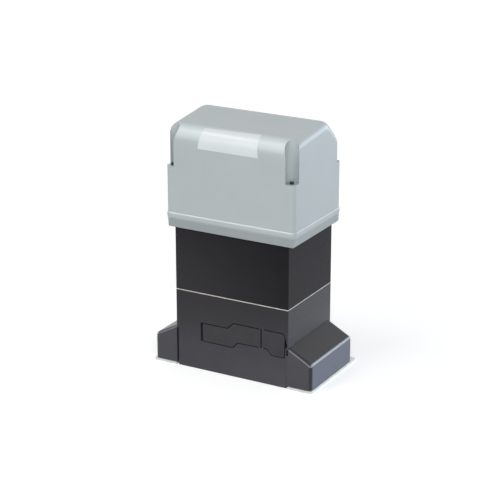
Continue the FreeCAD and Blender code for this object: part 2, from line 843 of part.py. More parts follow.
def pinion():
    front = half_depth + pinion_standoff
    place = lambda u, v: vec(output_x + u, front, output_height + v)
    teeth = Part.Face(gear_wire(pinion_module, pinion_teeth, 0.1, place, 0)).extrude(vec(0, pinion_width, 0))
    hub = rod_y(20.0, half_depth + gap, front, output_x, output_height)
    gear = teeth.fuse(hub).removeSplitter()
    cutters = [
        rod_y(journal_radius + running, half_depth - 1, pinion_back + 1, output_x, output_height),
        block(output_x - key_width / 2 - running, output_x + key_width / 2 + running,
              half_depth - 1, pinion_back + 1, output_height, key_base + key_height + running),
    ]
    return without(gear, cutters)


def disc_springs():
    """Two coned washers back to back."""
    low = -1 * (hub_half + clutch_disc_thickness)
    rim = 26.0
    bore = shaft_radius + gap
    half = disc_spring_depth / 2
    springs = []
    for base, tip in ((low - half, low - 2 * half), (low - half, low)):
        sign = 1 if tip > base else -1
        profile = [(bore, tip - sign * 1.6), (bore, tip), (rim, base + sign * 1.6), (rim, base)]
        corners = [vec(output_x + r, y, output_height) for r, y in profile]
        face = Part.Face(Part.makePolygon(corners + [corners[0]]))
        springs.append(face.revolve(vec(output_x, 0, output_height), vec(0, 1, 0), 360))
    return springs


def clutch_nut():
    back = clutch_front - disc_spring_depth
    front = back - clutch_nut_depth
    nut = hexagon(42.0, lambda u, v: vec(output_x + u, front, output_height + v),
                  vec(0, clutch_nut_depth, 0))
    return nut.cut(rod_y(shaft_radius + running, front - 1, back + 1, output_x, output_height))


def clutch_discs():
    discs = []
    for y0 in (clutch_front, hub_half):
        discs.append(ring_y(clutch_radius, shaft_radius + gap, y0, y0 + clutch_disc_thickness,
                            output_x, output_height))
    return discs


def pinion_screw():
    head = rod_y(6.5, pinion_back + pinion_washer_thickness,
                 pinion_back + pinion_washer_thickness + pinion_head_height, output_x, output_height)
    shank = rod_y(pinion_screw_radius, pinion_back - 22, pinion_back + pinion_washer_thickness,
                  output_x, output_height)
    top = pinion_back + pinion_washer_thickness + pinion_head_height
    socket = hexagon(6.0, lambda u, v: vec(output_x + u, top - 4, output_height + v), vec(0, 5, 0))
    return head.fuse(shank).removeSplitter().cut(socket)


save("output_shaft", output_shaft())
save("pinion", pinion())
pinion_washer_radius = 17.0
save("drive_key", block(output_x - key_width / 2 + running, output_x + key_width / 2 - running,
                        key_front, key_back, key_base, key_base + key_height))
save("pinion_washer", ring_y(pinion_washer_radius, pinion_screw_radius + gap, pinion_back,
                             pinion_back + pinion_washer_thickness, output_x, output_height))
save("pinion_screw", pinion_screw())
save("clutch_discs", Part.makeCompound(clutch_discs()))
save("disc_springs", Part.makeCompound(disc_springs()))
save("clutch_nut", clutch_nut())


# Oil plugs on the back of the gear case
def oil_plugs():
    plugs = []
    for z in plug_heights:
        head = rod_y(plug_radius + 3, half_depth, half_depth + 3.5, plug_x, z)
        stem = rod_y(plug_radius, half_depth - 9, half_depth, plug_x, z)
        socket = hexagon(6.0, lambda u, v: vec(plug_x + u, half_depth - 1.5, z + v), vec(0, 6, 0))
        plugs.append(head.fuse(stem).removeSplitter().cut(socket))
    return plugs


save("oil_plugs", Part.makeCompound(oil_plugs()))

# Motor case
bolt_seat = motor_case_base + case_wall + 7.0
rim_boss_half = 4.5
rim_boss_depth = 14.0
rim_screw_x = half_width - motor_wall - rim_boss_half
rim_screw_y = half_depth - motor_wall - rim_boss_half
rim_screw_radius = 1.8
shield_screw_radius = 1.25


def shield_screw_places():
    reach = stator_radius + sleeve_wall / 2
    angles = [math.radians(a) for a in (30, 150, 270)]
    return [(motor_axis_x + reach * math.cos(a), reach * math.sin(a)) for a in angles]


def motor_case():
    inner_x = half_width - motor_wall
    inner_y = half_depth - motor_wall
    base = motor_case_base
    floor = base + case_wall
    shell = rounded_block(-half_width, half_width, -half_depth, half_depth, base, motor_case_top,
                          case_edge_radius)
    shell = shell.cut(block(-inner_x, inner_x, -inner_y, inner_y, floor, motor_case_top + 1))
    parts = [
        shell,
        rod_z(sleeve_radius, floor, shield_base, motor_axis_x, 0),
        rod_z(duct_outer_radius, floor, motor_case_top, duct_x, 0),
    ]
    for x, y in four_places(bolt_x, bolt_y):
        parts.append(rod_z(bolt_boss_radius, floor, bolt_seat, x, y))
    for x, y in four_places(rim_screw_x, rim_screw_y):
        parts.append(block(x - rim_boss_half, x + rim_boss_half, y - rim_boss_half, y + rim_boss_half,
                           motor_case_top - rim_boss_depth, motor_case_top))
    case = joined(parts)
    case = without(case, [
        rod_z(stator_radius - 3, floor, stator_base + 1, motor_axis_x, 0),
        rod_z(stator_radius + running, stator_base, shield_base + 1, motor_axis_x, 0),
    ])
    case = joined([case, rod_z(middle_bearing_radius + 6, floor, middle_seal_top, motor_axis_x, 0)])
    cutters = [
        rod_z(middle_bearing_radius + running, base - 1, motor_bearing_top, motor_axis_x, 0),
        rod_z(small_bearing_radius + running, motor_bearing_top - 1, middle_seal_top + 1, motor_axis_x, 0),
        rod_z(duct_radius, base - 1, motor_case_top + 1, duct_x, 0),
    ]
    for x, y in four_places(bolt_x, bolt_y):
        cutters.append(rod_z(bolt_radius + gap, base - 1, bolt_seat + 1, x, y))
    for x, y in four_places(rim_screw_x, rim_screw_y):
        cutters.append(rod_z(rim_screw_radius + running, motor_case_top - 12, motor_case_top + 1, x, y))
    for x, y in shield_screw_places():
        cutters.append(rod_z(shield_screw_radius + running, shield_base - 12, shield_base + 1, x, y))
    for z in sensor_screw_heights:
        cutters.append(rod_y(1.5 + running, half_depth - motor_wall - 1, half_depth + 1, output_x, z))
    return without(case, cutters)


def case_bolts():
    bolts = []
    for x, y in four_places(bolt_x, bolt_y):
        head = rod_z(5.0, bolt_seat, bolt_seat + 6, x, y)
        shank = rod_z(bolt_radius, joint_height - 24, bolt_seat, x, y)
        socket = hexagon(5.0, lambda u, v: vec(x + u, y + v, bolt_seat + 3), vec(0, 0, 4))
        bolts.append(head.fuse(shank).removeSplitter().cut(socket))
    return bolts


def end_shield():
    hub_radius = small_bearing_radius + 5
    flange = rod_z(sleeve_radius, shield_base, shield_base + 4, motor_axis_x, 0)
    hub = rod_z(hub_radius, shield_base, shield_hub_top, motor_axis_x, 0)
    shield = joined([flange, hub])
    cutters = [rod_z(small_bearing_radius + running, shield_base - 1, top_bearing_top, motor_axis_x, 0)]
    for x, y in shield_screw_places():
        cutters.append(rod_z(shield_screw_radius + running, shield_base - 1, shield_base + 5, x, y))
    vent_circle = (hub_radius + sleeve_radius) / 2 - 1.25
    for i in range(6):
        angle = math.radians(60 * i)
        cutters.append(rod_z(7.0, shield_base - 1, shield_base + 5,
                             motor_axis_x + vent_circle * math.cos(angle), vent_circle * math.sin(angle)))
    return without(shield, cutters)


def shield_screws():
    screws = []
    for x, y in shield_screw_places():
        head = rod_z(2.4, shield_base + 4, shield_base + 6, x, y)
        shank = rod_z(shield_screw_radius, shield_base - 10, shield_base + 4, x, y)
        screws.append(head.fuse(shank).removeSplitter())
    return screws


def windings():
    return [ring_z(winding_outer, winding_inner, base, base + winding_height, motor_axis_x, 0)
            for base in (stator_base - winding_height, stator_top)]


sensor_base = motor_case_base + 24.2
sensor_width = 46.0
sensor_height = 34.0
sensor_depth = 16.0
bracket_thickness = 2.0
sensor_screw_heights = (sensor_base - 6, sensor_base + sensor_height + 6)

save("motor_case", motor_case())
save("case_bolts", Part.makeCompound(case_bolts()))
save("end_shield", end_shield())
save("shield_screws", Part.makeCompound(shield_screws()))
save("stator_core", ring_z(stator_radius, stator_bore_radius, stator_base, stator_top, motor_axis_x, 0))
save("stator_windings", Part.makeCompound(windings()))
save("rotor_core", ring_z(rotor_radius, rotor_shaft_radius + running / 2, stator_base, stator_top,
                          motor_axis_x, 0))


# Limit sensor on the back of the motor case, above the rack
def limit_sensor():
    y0 = half_depth + bracket_thickness
    x0 = output_x - sensor_width / 2
    body = block(x0, x0 + sensor_width, y0, y0 + sensor_depth, sensor_base, sensor_base + sensor_height)
    edges = [e for e in body.Edges if e.BoundBox.YMax > y0 + sensor_depth - 0.1]
    return body.makeFillet(2.5, edges)


def sensor_bracket():
    y0 = half_depth
    low = sensor_base - 12
    high = sensor_base + sensor_height + 12
    x0 = output_x - sensor_width / 2 + 6
    plate = block(x0, x0 + sensor_width - 12, y0, y0 + bracket_thickness, low, high)
    cutters = [rod_y(1.8, y0 - 1, y0 + 3, output_x, z) for z in sensor_screw_heights]
    return without(plate, cutters)


def sensor_screws():
    screws = []
    for z in sensor_screw_heights:
        head = rod_y(3.0, half_depth + bracket_thickness, half_depth + bracket_thickness + 2.2, output_x, z)
        shank = rod_y(1.5, half_depth - motor_wall, half_depth + bracket_thickness, output_x, z)
        screws.append(head.fuse(shank).removeSplitter())
    return screws


save("limit_sensor", limit_sensor())
save("sensor_bracket", sensor_bracket())
save("sensor_screws", Part.makeCompound(sensor_screws()))

# Board carrier
hood_inner_half = hood_half_width - hood_wall
carrier_half = hood_inner_half - skirt_taper - slide_gap
carrier_front = -hood_front + skirt_taper + skirt_wall + slide_gap
carrier_back = hood_back - skirt_back_taper - skirt_wall - slide_gap
post_x = hood_half_width - pocket_inset
post_front = -hood_front + pocket_inset
post_back = hood_back - pocket_inset
post_top = ledge_height - hood_wall
panel_half = board_half_width + 8.0
panel_y = -24.0
panel_thickness = 3.0
panel_foot_depth = 13.0
panel_foot_thickness = 2.5
panel_screw_y = panel_y + 8.0
board_base = carrier_top + 12.0
panel_top = board_base + board_height + 11.0
board_y = panel_y - 6.0
board_front = board_y - board_thickness
board_pillar_radius = 3.0
board_screw_radius = 1.15
board_corner_inset = 5.0
grommet_radius = duct_radius + 4.0
grommet_bore_radius = 6.0


def post_places():
    return [(sx * post_x, y) for sx in (-1, 1) for y in (post_front, post_back)]



def panel_screw_places():
    return [(x, panel_screw_y) for x in (-panel_half + 10, 0, panel_half - 10)]


def board_screw_places():
    reach = board_half_width - board_corner_inset
    low = board_base + board_corner_inset
    high = board_base + board_height - board_corner_inset
    return [(x, z) for x in (-reach, reach) for z in (low, high)]


def carrier_gasket():
    inset = 0.8
    outer = block(-half_width + inset, half_width - inset, -half_depth + inset, half_depth - inset,
                  motor_case_top, carrier_base)
    inner_x = half_width - motor_wall + 0.5
    inner_y = half_depth - motor_wall + 0.5
    return outer.cut(block(-inner_x, inner_x, -inner_y, inner_y, motor_case_top - 1, carrier_base + 1))


def board_carrier():
    tray = rounded_block(-carrier_half, carrier_half, carrier_front, carrier_back,
                         carrier_base, carrier_top, hood_edge_radius - hood_wall)
    parts = [tray]
    for x, y in post_places():
        parts.append(rod_z(post_radius, carrier_base, post_top, x, y))
    carrier = joined(parts)
    cutters = [rod_z(duct_radius, carrier_base - 1, carrier_top + 1, duct_x, 0)]
    for x, y in post_places():
        cutters.append(rod_z(1.6, post_top - 24, post_top + 1, x, y))
    for x, y in four_places(rim_screw_x, rim_screw_y):
        cutters.append(rod_z(rim_screw_radius + gap, carrier_base - 1, carrier_top + 1, x, y))
    for x, y in panel_screw_places():
        cutters.append(rod_z(rim_screw_radius + running, carrier_base - 1, carrier_top + 1, x, y))
    return without(carrier, cutters)


def board_panel():
    """An upright panel with a foot flange, ribs behind and four pillars in front for the board."""
    parts = [
        block(-panel_half, panel_half, panel_y, panel_y + panel_thickness, carrier_top, panel_top),
        block(-panel_half, panel_half, panel_y, panel_y + panel_foot_depth,
              carrier_top, carrier_top + panel_foot_thickness),
    ]
    root = carrier_top + 1
    for x in (-panel_half, -panel_half / 2, panel_half / 2 - 3, panel_half - 3):
        parts.append(prism([(panel_y + 1, root, 0), (panel_y + panel_foot_depth, root, 0),
                            (panel_y + 1, root + 59, 0)], on_yz(x), vec(3, 0, 0)))
    for x, z in board_screw_places():
        parts.append(rod_y(board_pillar_radius, board_y, panel_y + 1, x, z))
    cutters = [rod_z(grommet_radius + gap, carrier_top - 1, carrier_top + 4, duct_x, 0)]
    for x, y in panel_screw_places():
        cutters.append(rod_z(rim_screw_radius + gap, carrier_top - 1, carrier_top + 10, x, y))
    for x, z in board_screw_places():
        cutters.append(rod_y(board_screw_radius + running, board_y - 1, panel_y - 1, x, z))
    return without(joined(parts), cutters)


def carrier_screws():
    screws = []
    places = [(x, y, carrier_top, motor_case_top - 10) for x, y in four_places(rim_screw_x, rim_screw_y)]
    places += [(x, y, carrier_top + panel_foot_thickness, carrier_base - 1) for x, y in panel_screw_places()]
    for x, y, seat, tip in places:
        head = rod_z(3.4, seat, seat + 2.2, x, y)
        shank = rod_z(rim_screw_radius, tip, seat, x, y)
        screws.append(head.fuse(shank).removeSplitter())
    return screws


save("carrier_gasket", carrier_gasket())
save("board_carrier", board_carrier())
save("board_panel", board_panel())
save("carrier_screws", Part.makeCompound(carrier_screws()))

# Control board and what is on it
first_button_x = -board_half_width + 10.0
button_pitch = 12.0
button_places = {
    "button_open": first_button_x,
    "button_close": first_button_x + button_pitch,
    "button_program": first_button_x + 2 * button_pitch,
}
button_height = board_base + board_height - 33.0
button_radius = 1.8
switch_half = 3.1
switch_depth = 4.0
cap_length = 4.5
terminal_pitch = 5.08
terminal_gap = 3.5
terminal_depth = 12.0
terminal_height = 12.0
terminal_group_ways = 7
relay_width = 15.0
relay_depth = 16.0
relay_height = 29.0
relay_pitch = 19.0
choke_radius = 4.5
choke_depth = 14.0


def control_board():
    board = block(-board_half_width, board_half_width, board_front, board_y,
                  board_base, board_base + board_height)
    parts = [board]
    for x in button_places.values():
        parts.append(block(x - switch_half, x + switch_half, board_front - switch_depth, board_front,
                           button_height - switch_half, button_height + switch_half))
    display_x = first_button_x + 3 * button_pitch - 2
    parts.append(block(display_x, display_x + 26, board_front - 8, board_front,
                       button_height - 6, button_height + 8))
    parts.append(block(display_x + 32, display_x + 46, board_front - 5, board_front,
                       button_height + 2, button_height + 9))
    for x in (first_button_x + 2, first_button_x + 17, first_button_x + 32):
        parts.append(rod_y(choke_radius, board_front - choke_depth, board_front, x, board_base + 30))
    board = joined(parts)
    cutters = []
    for x in button_places.values():
        cutters.append(rod_y(button_radius + running, board_front - switch_depth - 1, board_front - 1.0,
                             x, button_height))
    for x, z in board_screw_places():
        cutters.append(rod_y(board_screw_radius + gap, board_front - 1, board_y + 1, x, z))
    return without(board, cutters)


def button_cap(x):
    back = board_front - 1.0 - button_travel - 0.1
    return rod_y(button_radius, back - cap_length, back, x, button_height)


def terminal_blocks():
    """Rows of screw terminals along the foot of the board, as many ways as fit between its corners."""
    room = 2 * (board_half_width - 2 * board_corner_inset)
    ways_left = int((room - 2 * terminal_gap) / terminal_pitch)
    start = -board_half_width + 2 * board_corner_inset
    front = board_front - terminal_depth
    low = board_base + 2
    blocks = []
    while ways_left > 0:
        ways = ways_left if ways_left < 2 * terminal_group_ways - 3 else terminal_group_ways
        width = ways * terminal_pitch
        body = block(start, start + width, front, board_front, low, low + terminal_height)
        cutters = []
        for i in range(ways):
            x = start + (i + 0.5) * terminal_pitch
            cutters.append(rod_y(1.7, front - 1, front + 4, x, low + 8.5))
            cutters.append(block(x - 1.7, x + 1.7, front - 1, front + 7, low + 1.5, low + 5))
        blocks.append(without(body, cutters))
        start += width + terminal_gap
        ways_left -= ways
    return blocks


def relays():
    right = board_half_width - 11.0
    low = board_base + 20.0
    boxes = []
    for i in range(3):
        x = right - relay_width - i * relay_pitch
        boxes.append(block(x, x + relay_width, board_front - relay_depth, board_front,
                           low, low + relay_height))
    return boxes


def board_screws():
    screws = []
    for x, z in board_screw_places():
        head = rod_y(2.6, board_front - 2, board_front, x, z)
        shank = rod_y(board_screw_radius, board_front, panel_y - 2, x, z)
        screws.append(head.fuse(shank).removeSplitter())
    return screws


save("control_board", control_board())
for button_name, button_x in button_places.items():
    save(button_name, button_cap(button_x))
save("terminal_blocks", Part.makeCompound(terminal_blocks()))
save("relays", Part.makeCompound(relays()))
save("board_screws", Part.makeCompound(board_screws()))

# Transformer and run capacitor stand on the carrier behind the board
transformer_x = 42.0
transformer_y = 27.0
capacitor_x = -42.0
capacitor_y = 30.0
capacitor_radius = 19.0
capacitor_height = 78.0
core_limb = 11.0
core_depth = 28.0
coil_room = 0.4
coil_overhang = 11.0
bobbin_room = 0.2


def transformer_core():
    """A stack of E sheets: outer limbs and yokes one limb wide, the middle limb two."""
    half = 3 * core_limb
    y0 = transformer_y - core_depth / 2
    y1 = transformer_y + core_depth / 2
    core = block(transformer_x - half, transformer_x + half, y0, y1, carrier_top, carrier_top + 5 * core_limb)
    cutters = []
    for x in (transformer_x - 2 * core_limb, transformer_x + core_limb):
        cutters.append(block(x, x + core_limb, y0 - 1, y1 + 1,
                             carrier_top + core_limb, carrier_top + 4 * core_limb))
    return without(core, cutters)


def transformer_coil():
    inner_x = core_limb + bobbin_room
    inner_y = core_depth / 2 + bobbin_room
    outer_x = 2 * core_limb - coil_room
    outer_y = core_depth / 2 + coil_overhang
    low = carrier_top + core_limb + coil_room
    high = carrier_top + 4 * core_limb - coil_room
    inner = block(transformer_x - inner_x, transformer_x + inner_x,
                  transformer_y - inner_y, transformer_y + inner_y, low - 1, high + 1)
    coil = rounded_block(transformer_x - outer_x, transformer_x + outer_x,
                         transformer_y - outer_y, transformer_y + outer_y, low, high, 6.0)
    return coil.cut(inner)


def run_capacitor():
    can = rod_z(capacitor_radius, carrier_top, carrier_top + capacitor_height, capacitor_x, capacitor_y)
    top = [e for e in can.Edges if e.BoundBox.ZMin > carrier_top + capacitor_height - 0.1]
    can = can.makeFillet(2.0, top)
    for x in (-6, 6):
        can = can.fuse(block(capacitor_x + x - 0.4, capacitor_x + x + 0.4, capacitor_y - 3, capacitor_y + 3,
                             carrier_top + capacitor_height - 1, carrier_top + capacitor_height + 8))
    return can


def cable_grommet():
    """A rubber ring in the carrier, around the supply cable that comes up the duct."""
    collar = rod_z(grommet_radius, carrier_top, carrier_top + 3, duct_x, 0)
    neck = rod_z(duct_radius - gap, carrier_base, carrier_top, duct_x, 0)
    bore = rod_z(grommet_bore_radius, carrier_base - 1, carrier_top + 4, duct_x, 0)
    return joined([collar, neck]).cut(bore)


save("transformer_core", transformer_core())
save("transformer_coil", transformer_coil())
save("run_capacitor", run_capacitor())
save("cable_grommet", cable_grommet())


# Hood
def hood_form(inset):
    """The hood's closed outer form, moved inwards by inset. Its edges are softer at the top."""
    front = -hood_front + inset
    back = hood_back - inset
    top = hood_top - inset
    corners = [
        (front, hood_base, 0),
        (front, top - hood_front_drop, hood_front_radius - inset),
        (hood_back - hood_ridge_setback, top + hood_ridge_rise, hood_ridge_radius - inset),
        (back, top - hood_back_drop, hood_back_radius - inset),
        (back, hood_base, 0),
    ]
    half = hood_half_width - inset
    solid = prism(corners, on_yz(-half), vec(2 * half, 0, 0))
    softened = []
    for index, edge in enumerate(solid.Edges, 1):
        box = edge.BoundBox
        at_side = abs(abs(box.XMin) - half) < 1e-3 and box.XLength < 1e-3
        if at_side and box.ZMax > hood_base + 1:
            radii = []
            for end in (edge.Vertexes[0].Point, edge.Vertexes[-1].Point):
                upright = abs(end.y - front) < 1e-3 or abs(end.y - back) < 1e-3
                radii.append((hood_edge_radius if upright else hood_top_radius) - inset)
            softened.append((index, radii[0], radii[1]))
    return filleted(solid, softened)


def filleted(solid, softened):
    """Fillets with a start and an end radius for each edge, given as (edge number, start, end)."""
    drawing = FreeCAD.newDocument("fillets")
    base = drawing.addObject("Part::Feature", "base")
    base.Shape = solid
    fillet = drawing.addObject("Part::Fillet", "fillet")
    fillet.Base = base
    fillet.Edges = softened
    drawing.recompute()
    result = fillet.Shape.Solids[0].copy()
    FreeCAD.closeDocument("fillets")
    return result


def pocket(radius, low):
    """The corner pockets' cutter: round wells around the hood screws, from low upwards."""
    return joined([rod_z(radius, low, hood_top + 20, x, y) for x, y in post_places()])


def skirt_form(inset, low):
    """The skirt below the bead, narrower at its lower edge, moved inwards by inset."""
    sections = []
    for z, side, back, radius in (
        (low, skirt_taper, skirt_back_taper, skirt_bottom_radius),
        (hood_base + skirt_height + 2, 0.0, 0.0, hood_edge_radius - 1),
    ):
        half = hood_half_width - side - inset
        y0 = -hood_front + side + inset
        y1 = hood_back - back - inset
        rounding = max(radius - inset, 0.5)
        corners = [(-half, y0, rounding), (half, y0, rounding), (half, y1, rounding), (-half, y1, rounding)]
        sections.append(rounded_wire(corners, on_xy(z)))
    return Part.makeLoft(sections, True, True)


def hood_bead():
    bead_base = hood_base + skirt_height
    wide = hood_half_width + bead_proud
    bead = rounded_block(-wide, wide, -hood_front - bead_proud, hood_back + bead_proud,
                         bead_base, bead_base + bead_height, hood_edge_radius + bead_proud)
    rims = [e for e in bead.Edges if e.BoundBox.ZLength < 1e-3]
    return bead.makeFillet(bead_rounding, rims)


def hood():
    wide = 2 * hood_half_width
    below = block(-wide, wide, -wide, wide, hood_base - 10, hood_base + skirt_height)
    outer = hood_form(0).cut(below).fuse([hood_bead(), skirt_form(0, hood_base)])
    cavity = hood_form(hood_wall).cut([pocket(pocket_radius + hood_wall, post_top), below])
    result = outer.cut([cavity, skirt_form(skirt_wall, hood_base - 1), pocket(pocket_radius, ledge_height)])
    holes = [rod_z(1.8, post_top - 1, ledge_height + 1, x, y) for x, y in post_places()]
    return without(result, holes)


def hood_screws():
    screws = []
    for x, y in post_places():
        head = rod_z(hood_screw_head_radius, ledge_height, ledge_height + 3, x, y)
        shank = rod_z(1.5, post_top - 20, ledge_height, x, y)
        screws.append(head.fuse(shank).removeSplitter())
    return screws


save("hood", hood())
save("hood_screws", Part.makeCompound(hood_screws()))


# Foot covers
def foot_cover_form(inset):
    x0 = half_width + gap
    x1 = half_width + cover_reach - inset
    front = -half_depth + 0.2 + inset
    back = half_depth - cover_back_inset - inset
    drop = inset * 1.15
    base = plate_thickness + gap
    radius = cover_edge_radius - inset
    corners = [(x0 - (5 if inset else 0), base - (5 if inset else 0), 0),
               (x1, base - (5 if inset else 0), 0), (x1, cover_edge_height - drop, 0),
               (x0, cover_top_height - drop, 0)]
    if inset:
        corners.append((x0 - 5, cover_top_height - drop + 5 * 0.57, 0))
    solid = prism(corners, on_xz(front), vec(0, back - front, 0))
    edges = []
    for edge in solid.Edges:
        box = edge.BoundBox
        along_slope = box.XLength > 20 and box.ZLength > 10
        at_outer = abs(box.XMin - x1) < 1e-3 and abs(box.XMax - x1) < 1e-3
        if along_slope or (at_outer and box.ZMax > cover_edge_height - drop - 0.1):
            edges.append(edge)
    return solid.makeFillet(radius, edges)


def foot_cover(with_tongue):
    shell = foot_cover_form(0).cut(foot_cover_form(cover_wall))
    if with_tongue:
        front = -half_depth + 0.2
        tongue = block(half_width - rebate_width + 0.2, half_width + gap + 4, front, front + cover_wall,
                       plate_thickness + gap, cover_top_height - 12)
        shell = shell.fuse(tongue).removeSplitter()
    return shell


save("right_foot_cover", foot_cover(True))
save("left_foot_cover", mirrored_x(foot_cover(False)))
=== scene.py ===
import math

import bmesh
import bpy
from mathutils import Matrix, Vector


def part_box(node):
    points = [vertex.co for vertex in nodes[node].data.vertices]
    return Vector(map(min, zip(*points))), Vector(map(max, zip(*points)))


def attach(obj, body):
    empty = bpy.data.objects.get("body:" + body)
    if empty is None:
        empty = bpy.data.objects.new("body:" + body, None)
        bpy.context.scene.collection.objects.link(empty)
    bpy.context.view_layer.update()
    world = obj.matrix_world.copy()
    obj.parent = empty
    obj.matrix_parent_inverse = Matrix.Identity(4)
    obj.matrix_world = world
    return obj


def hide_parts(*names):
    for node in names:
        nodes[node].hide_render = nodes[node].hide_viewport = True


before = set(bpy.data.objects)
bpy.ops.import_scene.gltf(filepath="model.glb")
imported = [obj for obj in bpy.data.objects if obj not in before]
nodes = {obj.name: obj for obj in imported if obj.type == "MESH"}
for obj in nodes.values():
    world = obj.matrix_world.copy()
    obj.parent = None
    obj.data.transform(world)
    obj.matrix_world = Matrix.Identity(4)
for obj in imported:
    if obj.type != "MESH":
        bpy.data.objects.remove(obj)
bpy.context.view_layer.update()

# Foundation plate: a sheet of zinc plated steel that is bolted to the concrete base.
# It is cut and punched, so it has a faint rolled grain and cloudy patches of zinc.
def new_finish(name, colour, roughness, metallic=0.0):
    finish = bpy.data.materials.new(name)
    finish.use_nodes = True
    shader = finish.node_tree.nodes["Principled BSDF"]
    shader.inputs["Base Color"].default_value = (*colour, 1.0)
    shader.inputs["Roughness"].default_value = roughness
    shader.inputs["Metallic"].default_value = metallic
    return finish


def add(finish, kind, **values):
    """Adds a node to a finish, and sets its options and its sockets by name."""
    node = finish.node_tree.nodes.new(kind)
    for key, value in values.items():
        if hasattr(node, key):
            setattr(node, key, value)
        else:
            node.inputs[key.replace("_", " ")].default_value = value
    return node


def on_object(finish, stretch=(1.0, 1.0, 1.0)):
    """Object coordinates, stretched along the axes."""
    place = add(finish, "ShaderNodeTexCoord")
    mapping = add(finish, "ShaderNodeMapping")
    mapping.inputs["Scale"].default_value = stretch
    finish.node_tree.links.new(place.outputs["Object"], mapping.inputs["Vector"])
    return mapping.outputs["Vector"]


def cloudy(finish, scale, detail=4.0, rough=0.55, stretch=(1.0, 1.0, 1.0)):
    """An uneven pattern of soft patches, finer as the scale goes up."""
    noise = add(finish, "ShaderNodeTexNoise", Scale=scale, Detail=detail, Roughness=rough)
    finish.node_tree.links.new(on_object(finish, stretch), noise.inputs["Vector"])
    return noise.outputs["Fac"]


def tinted(finish, pattern, low, high, socket="Base Color", edges=(0.3, 0.7)):
    """Drives a socket of the shader from a pattern, through a ramp from low to high."""
    ramp = add(finish, "ShaderNodeValToRGB")
    ramp.color_ramp.elements[0].position = edges[0]
    ramp.color_ramp.elements[1].position = edges[1]
    ramp.color_ramp.elements[0].color = low if len(low) == 4 else (*low, 1.0)
    ramp.color_ramp.elements[1].color = high if len(high) == 4 else (*high, 1.0)
    finish.node_tree.links.new(pattern, ramp.inputs["Fac"])
    shader = finish.node_tree.nodes["Principled BSDF"]
    finish.node_tree.links.new(ramp.outputs["Color"], shader.inputs[socket])
    return ramp


def grey(value):
    return (value, value, value, 1.0)


def relief(finish, pattern, strength, distance):
    """Adds a bump from a pattern, on top of any bump that the shader has already."""
    links = finish.node_tree.links
    shader = finish.node_tree.nodes["Principled BSDF"]
    bump = add(finish, "ShaderNodeBump", Strength=strength, Distance=distance)
    if shader.inputs["Normal"].is_linked:
        links.new(shader.inputs["Normal"].links[0].from_socket, bump.inputs["Normal"])
    links.new(pattern, bump.inputs["Height"])
    links.new(bump.outputs["Normal"], shader.inputs["Normal"])


def dress(names, finish):
    """Gives a finish to nodes of the frame."""
    for name in names:
        nodes[name].data.materials.clear()
        nodes[name].data.materials.append(finish)


plate_zinc = new_finish("plate_zinc", (0.70, 0.72, 0.71), 0.42, 0.55)
tinted(plate_zinc, cloudy(plate_zinc, 60.0), (0.60, 0.62, 0.61), (0.80, 0.82, 0.81))
tinted(plate_zinc, cloudy(plate_zinc, 24.0), grey(0.34), grey(0.52), "Roughness")
relief(plate_zinc, cloudy(plate_zinc, 900.0, stretch=(1.0, 0.08, 1.0)), 0.12, 0.0002)
dress(["foundation_plate"], plate_zinc)

# Washers, nuts, bolts, oil plugs and all the small screws: turned or pressed steel, zinc plated,
# with a soft unevenness in its tint and its gloss.
fastener_zinc = new_finish("fastener_zinc", (0.60, 0.60, 0.57), 0.34, 0.9)
tinted(fastener_zinc, cloudy(fastener_zinc, 350.0), (0.48, 0.48, 0.45), (0.68, 0.68, 0.65))
tinted(fastener_zinc, cloudy(fastener_zinc, 160.0), grey(0.26), grey(0.44), "Roughness")
relief(fastener_zinc, cloudy(fastener_zinc, 2600.0), 0.1, 0.0001)
dress(["foot_washers", "foot_nuts", "case_bolts", "shield_screws", "carrier_screws", "sensor_screws",
       "board_screws", "pinion_washer", "pinion_screw", "oil_plugs"], fastener_zinc)

# Anchor studs and levelling screws: zinc plated M10 and M8 rod, threaded over the whole length.
# The thread is too fine for the solids, so it is a relief in the zinc, one ridge per pitch.
bands_per_metre = 0.314
stud_pitch, levelling_pitch = 0.0015, 0.00125
for name, node_name, pitch in (("stud_thread", "anchor_studs", stud_pitch),
                               ("screw_thread", "levelling_screws", levelling_pitch)):
    threaded = new_finish(name, (0.56, 0.56, 0.53), 0.36, 0.9)
    tinted(threaded, cloudy(threaded, 300.0), (0.44, 0.44, 0.41), (0.64, 0.64, 0.61))
    ridges = add(threaded, "ShaderNodeTexWave", bands_direction="Z", Scale=bands_per_metre / pitch)
    threaded.node_tree.links.new(on_object(threaded), ridges.inputs["Vector"])
    relief(threaded, ridges.outputs["Fac"], 1.0, 0.6 * pitch)
    dress([node_name], threaded)

# Gear case and motor case: die castings in aluminium, with a dark powder coat that shows a
# fine orange peel. The motor case has a duller coat, and the gear case a satin one. Both coats
# are painted paler towards their foot and darker towards their head, which is painted light and
# shade. Their fronts also carry painted light and shade that changes along X.
def calculated(finish, operation, first, second):
    """One step of arithmetic on two outputs of a finish's nodes."""
    both = add(finish, "ShaderNodeMath", operation=operation)
    finish.node_tree.links.new(first, both.inputs[0])
    finish.node_tree.links.new(second, both.inputs[1])
    return both.outputs["Value"]


def between(finish, value, low, high, start=0.0, end=1.0):
    """Runs from start to end while a value goes from low to high."""
    share = add(finish, "ShaderNodeMapRange", From_Min=low, From_Max=high, To_Min=start, To_Max=end)
    finish.node_tree.links.new(value, share.inputs["Value"])
    return share.outputs["Result"]


def along_axes(finish, vector):
    """The three parts of a place or of a direction."""
    parts = add(finish, "ShaderNodeSeparateXYZ")
    finish.node_tree.links.new(vector, parts.inputs["Vector"])
    return parts.outputs


def facing(finish):
    """The direction that the surface faces, in the object's own axes."""
    return along_axes(finish, add(finish, "ShaderNodeTexCoord").outputs["Normal"])


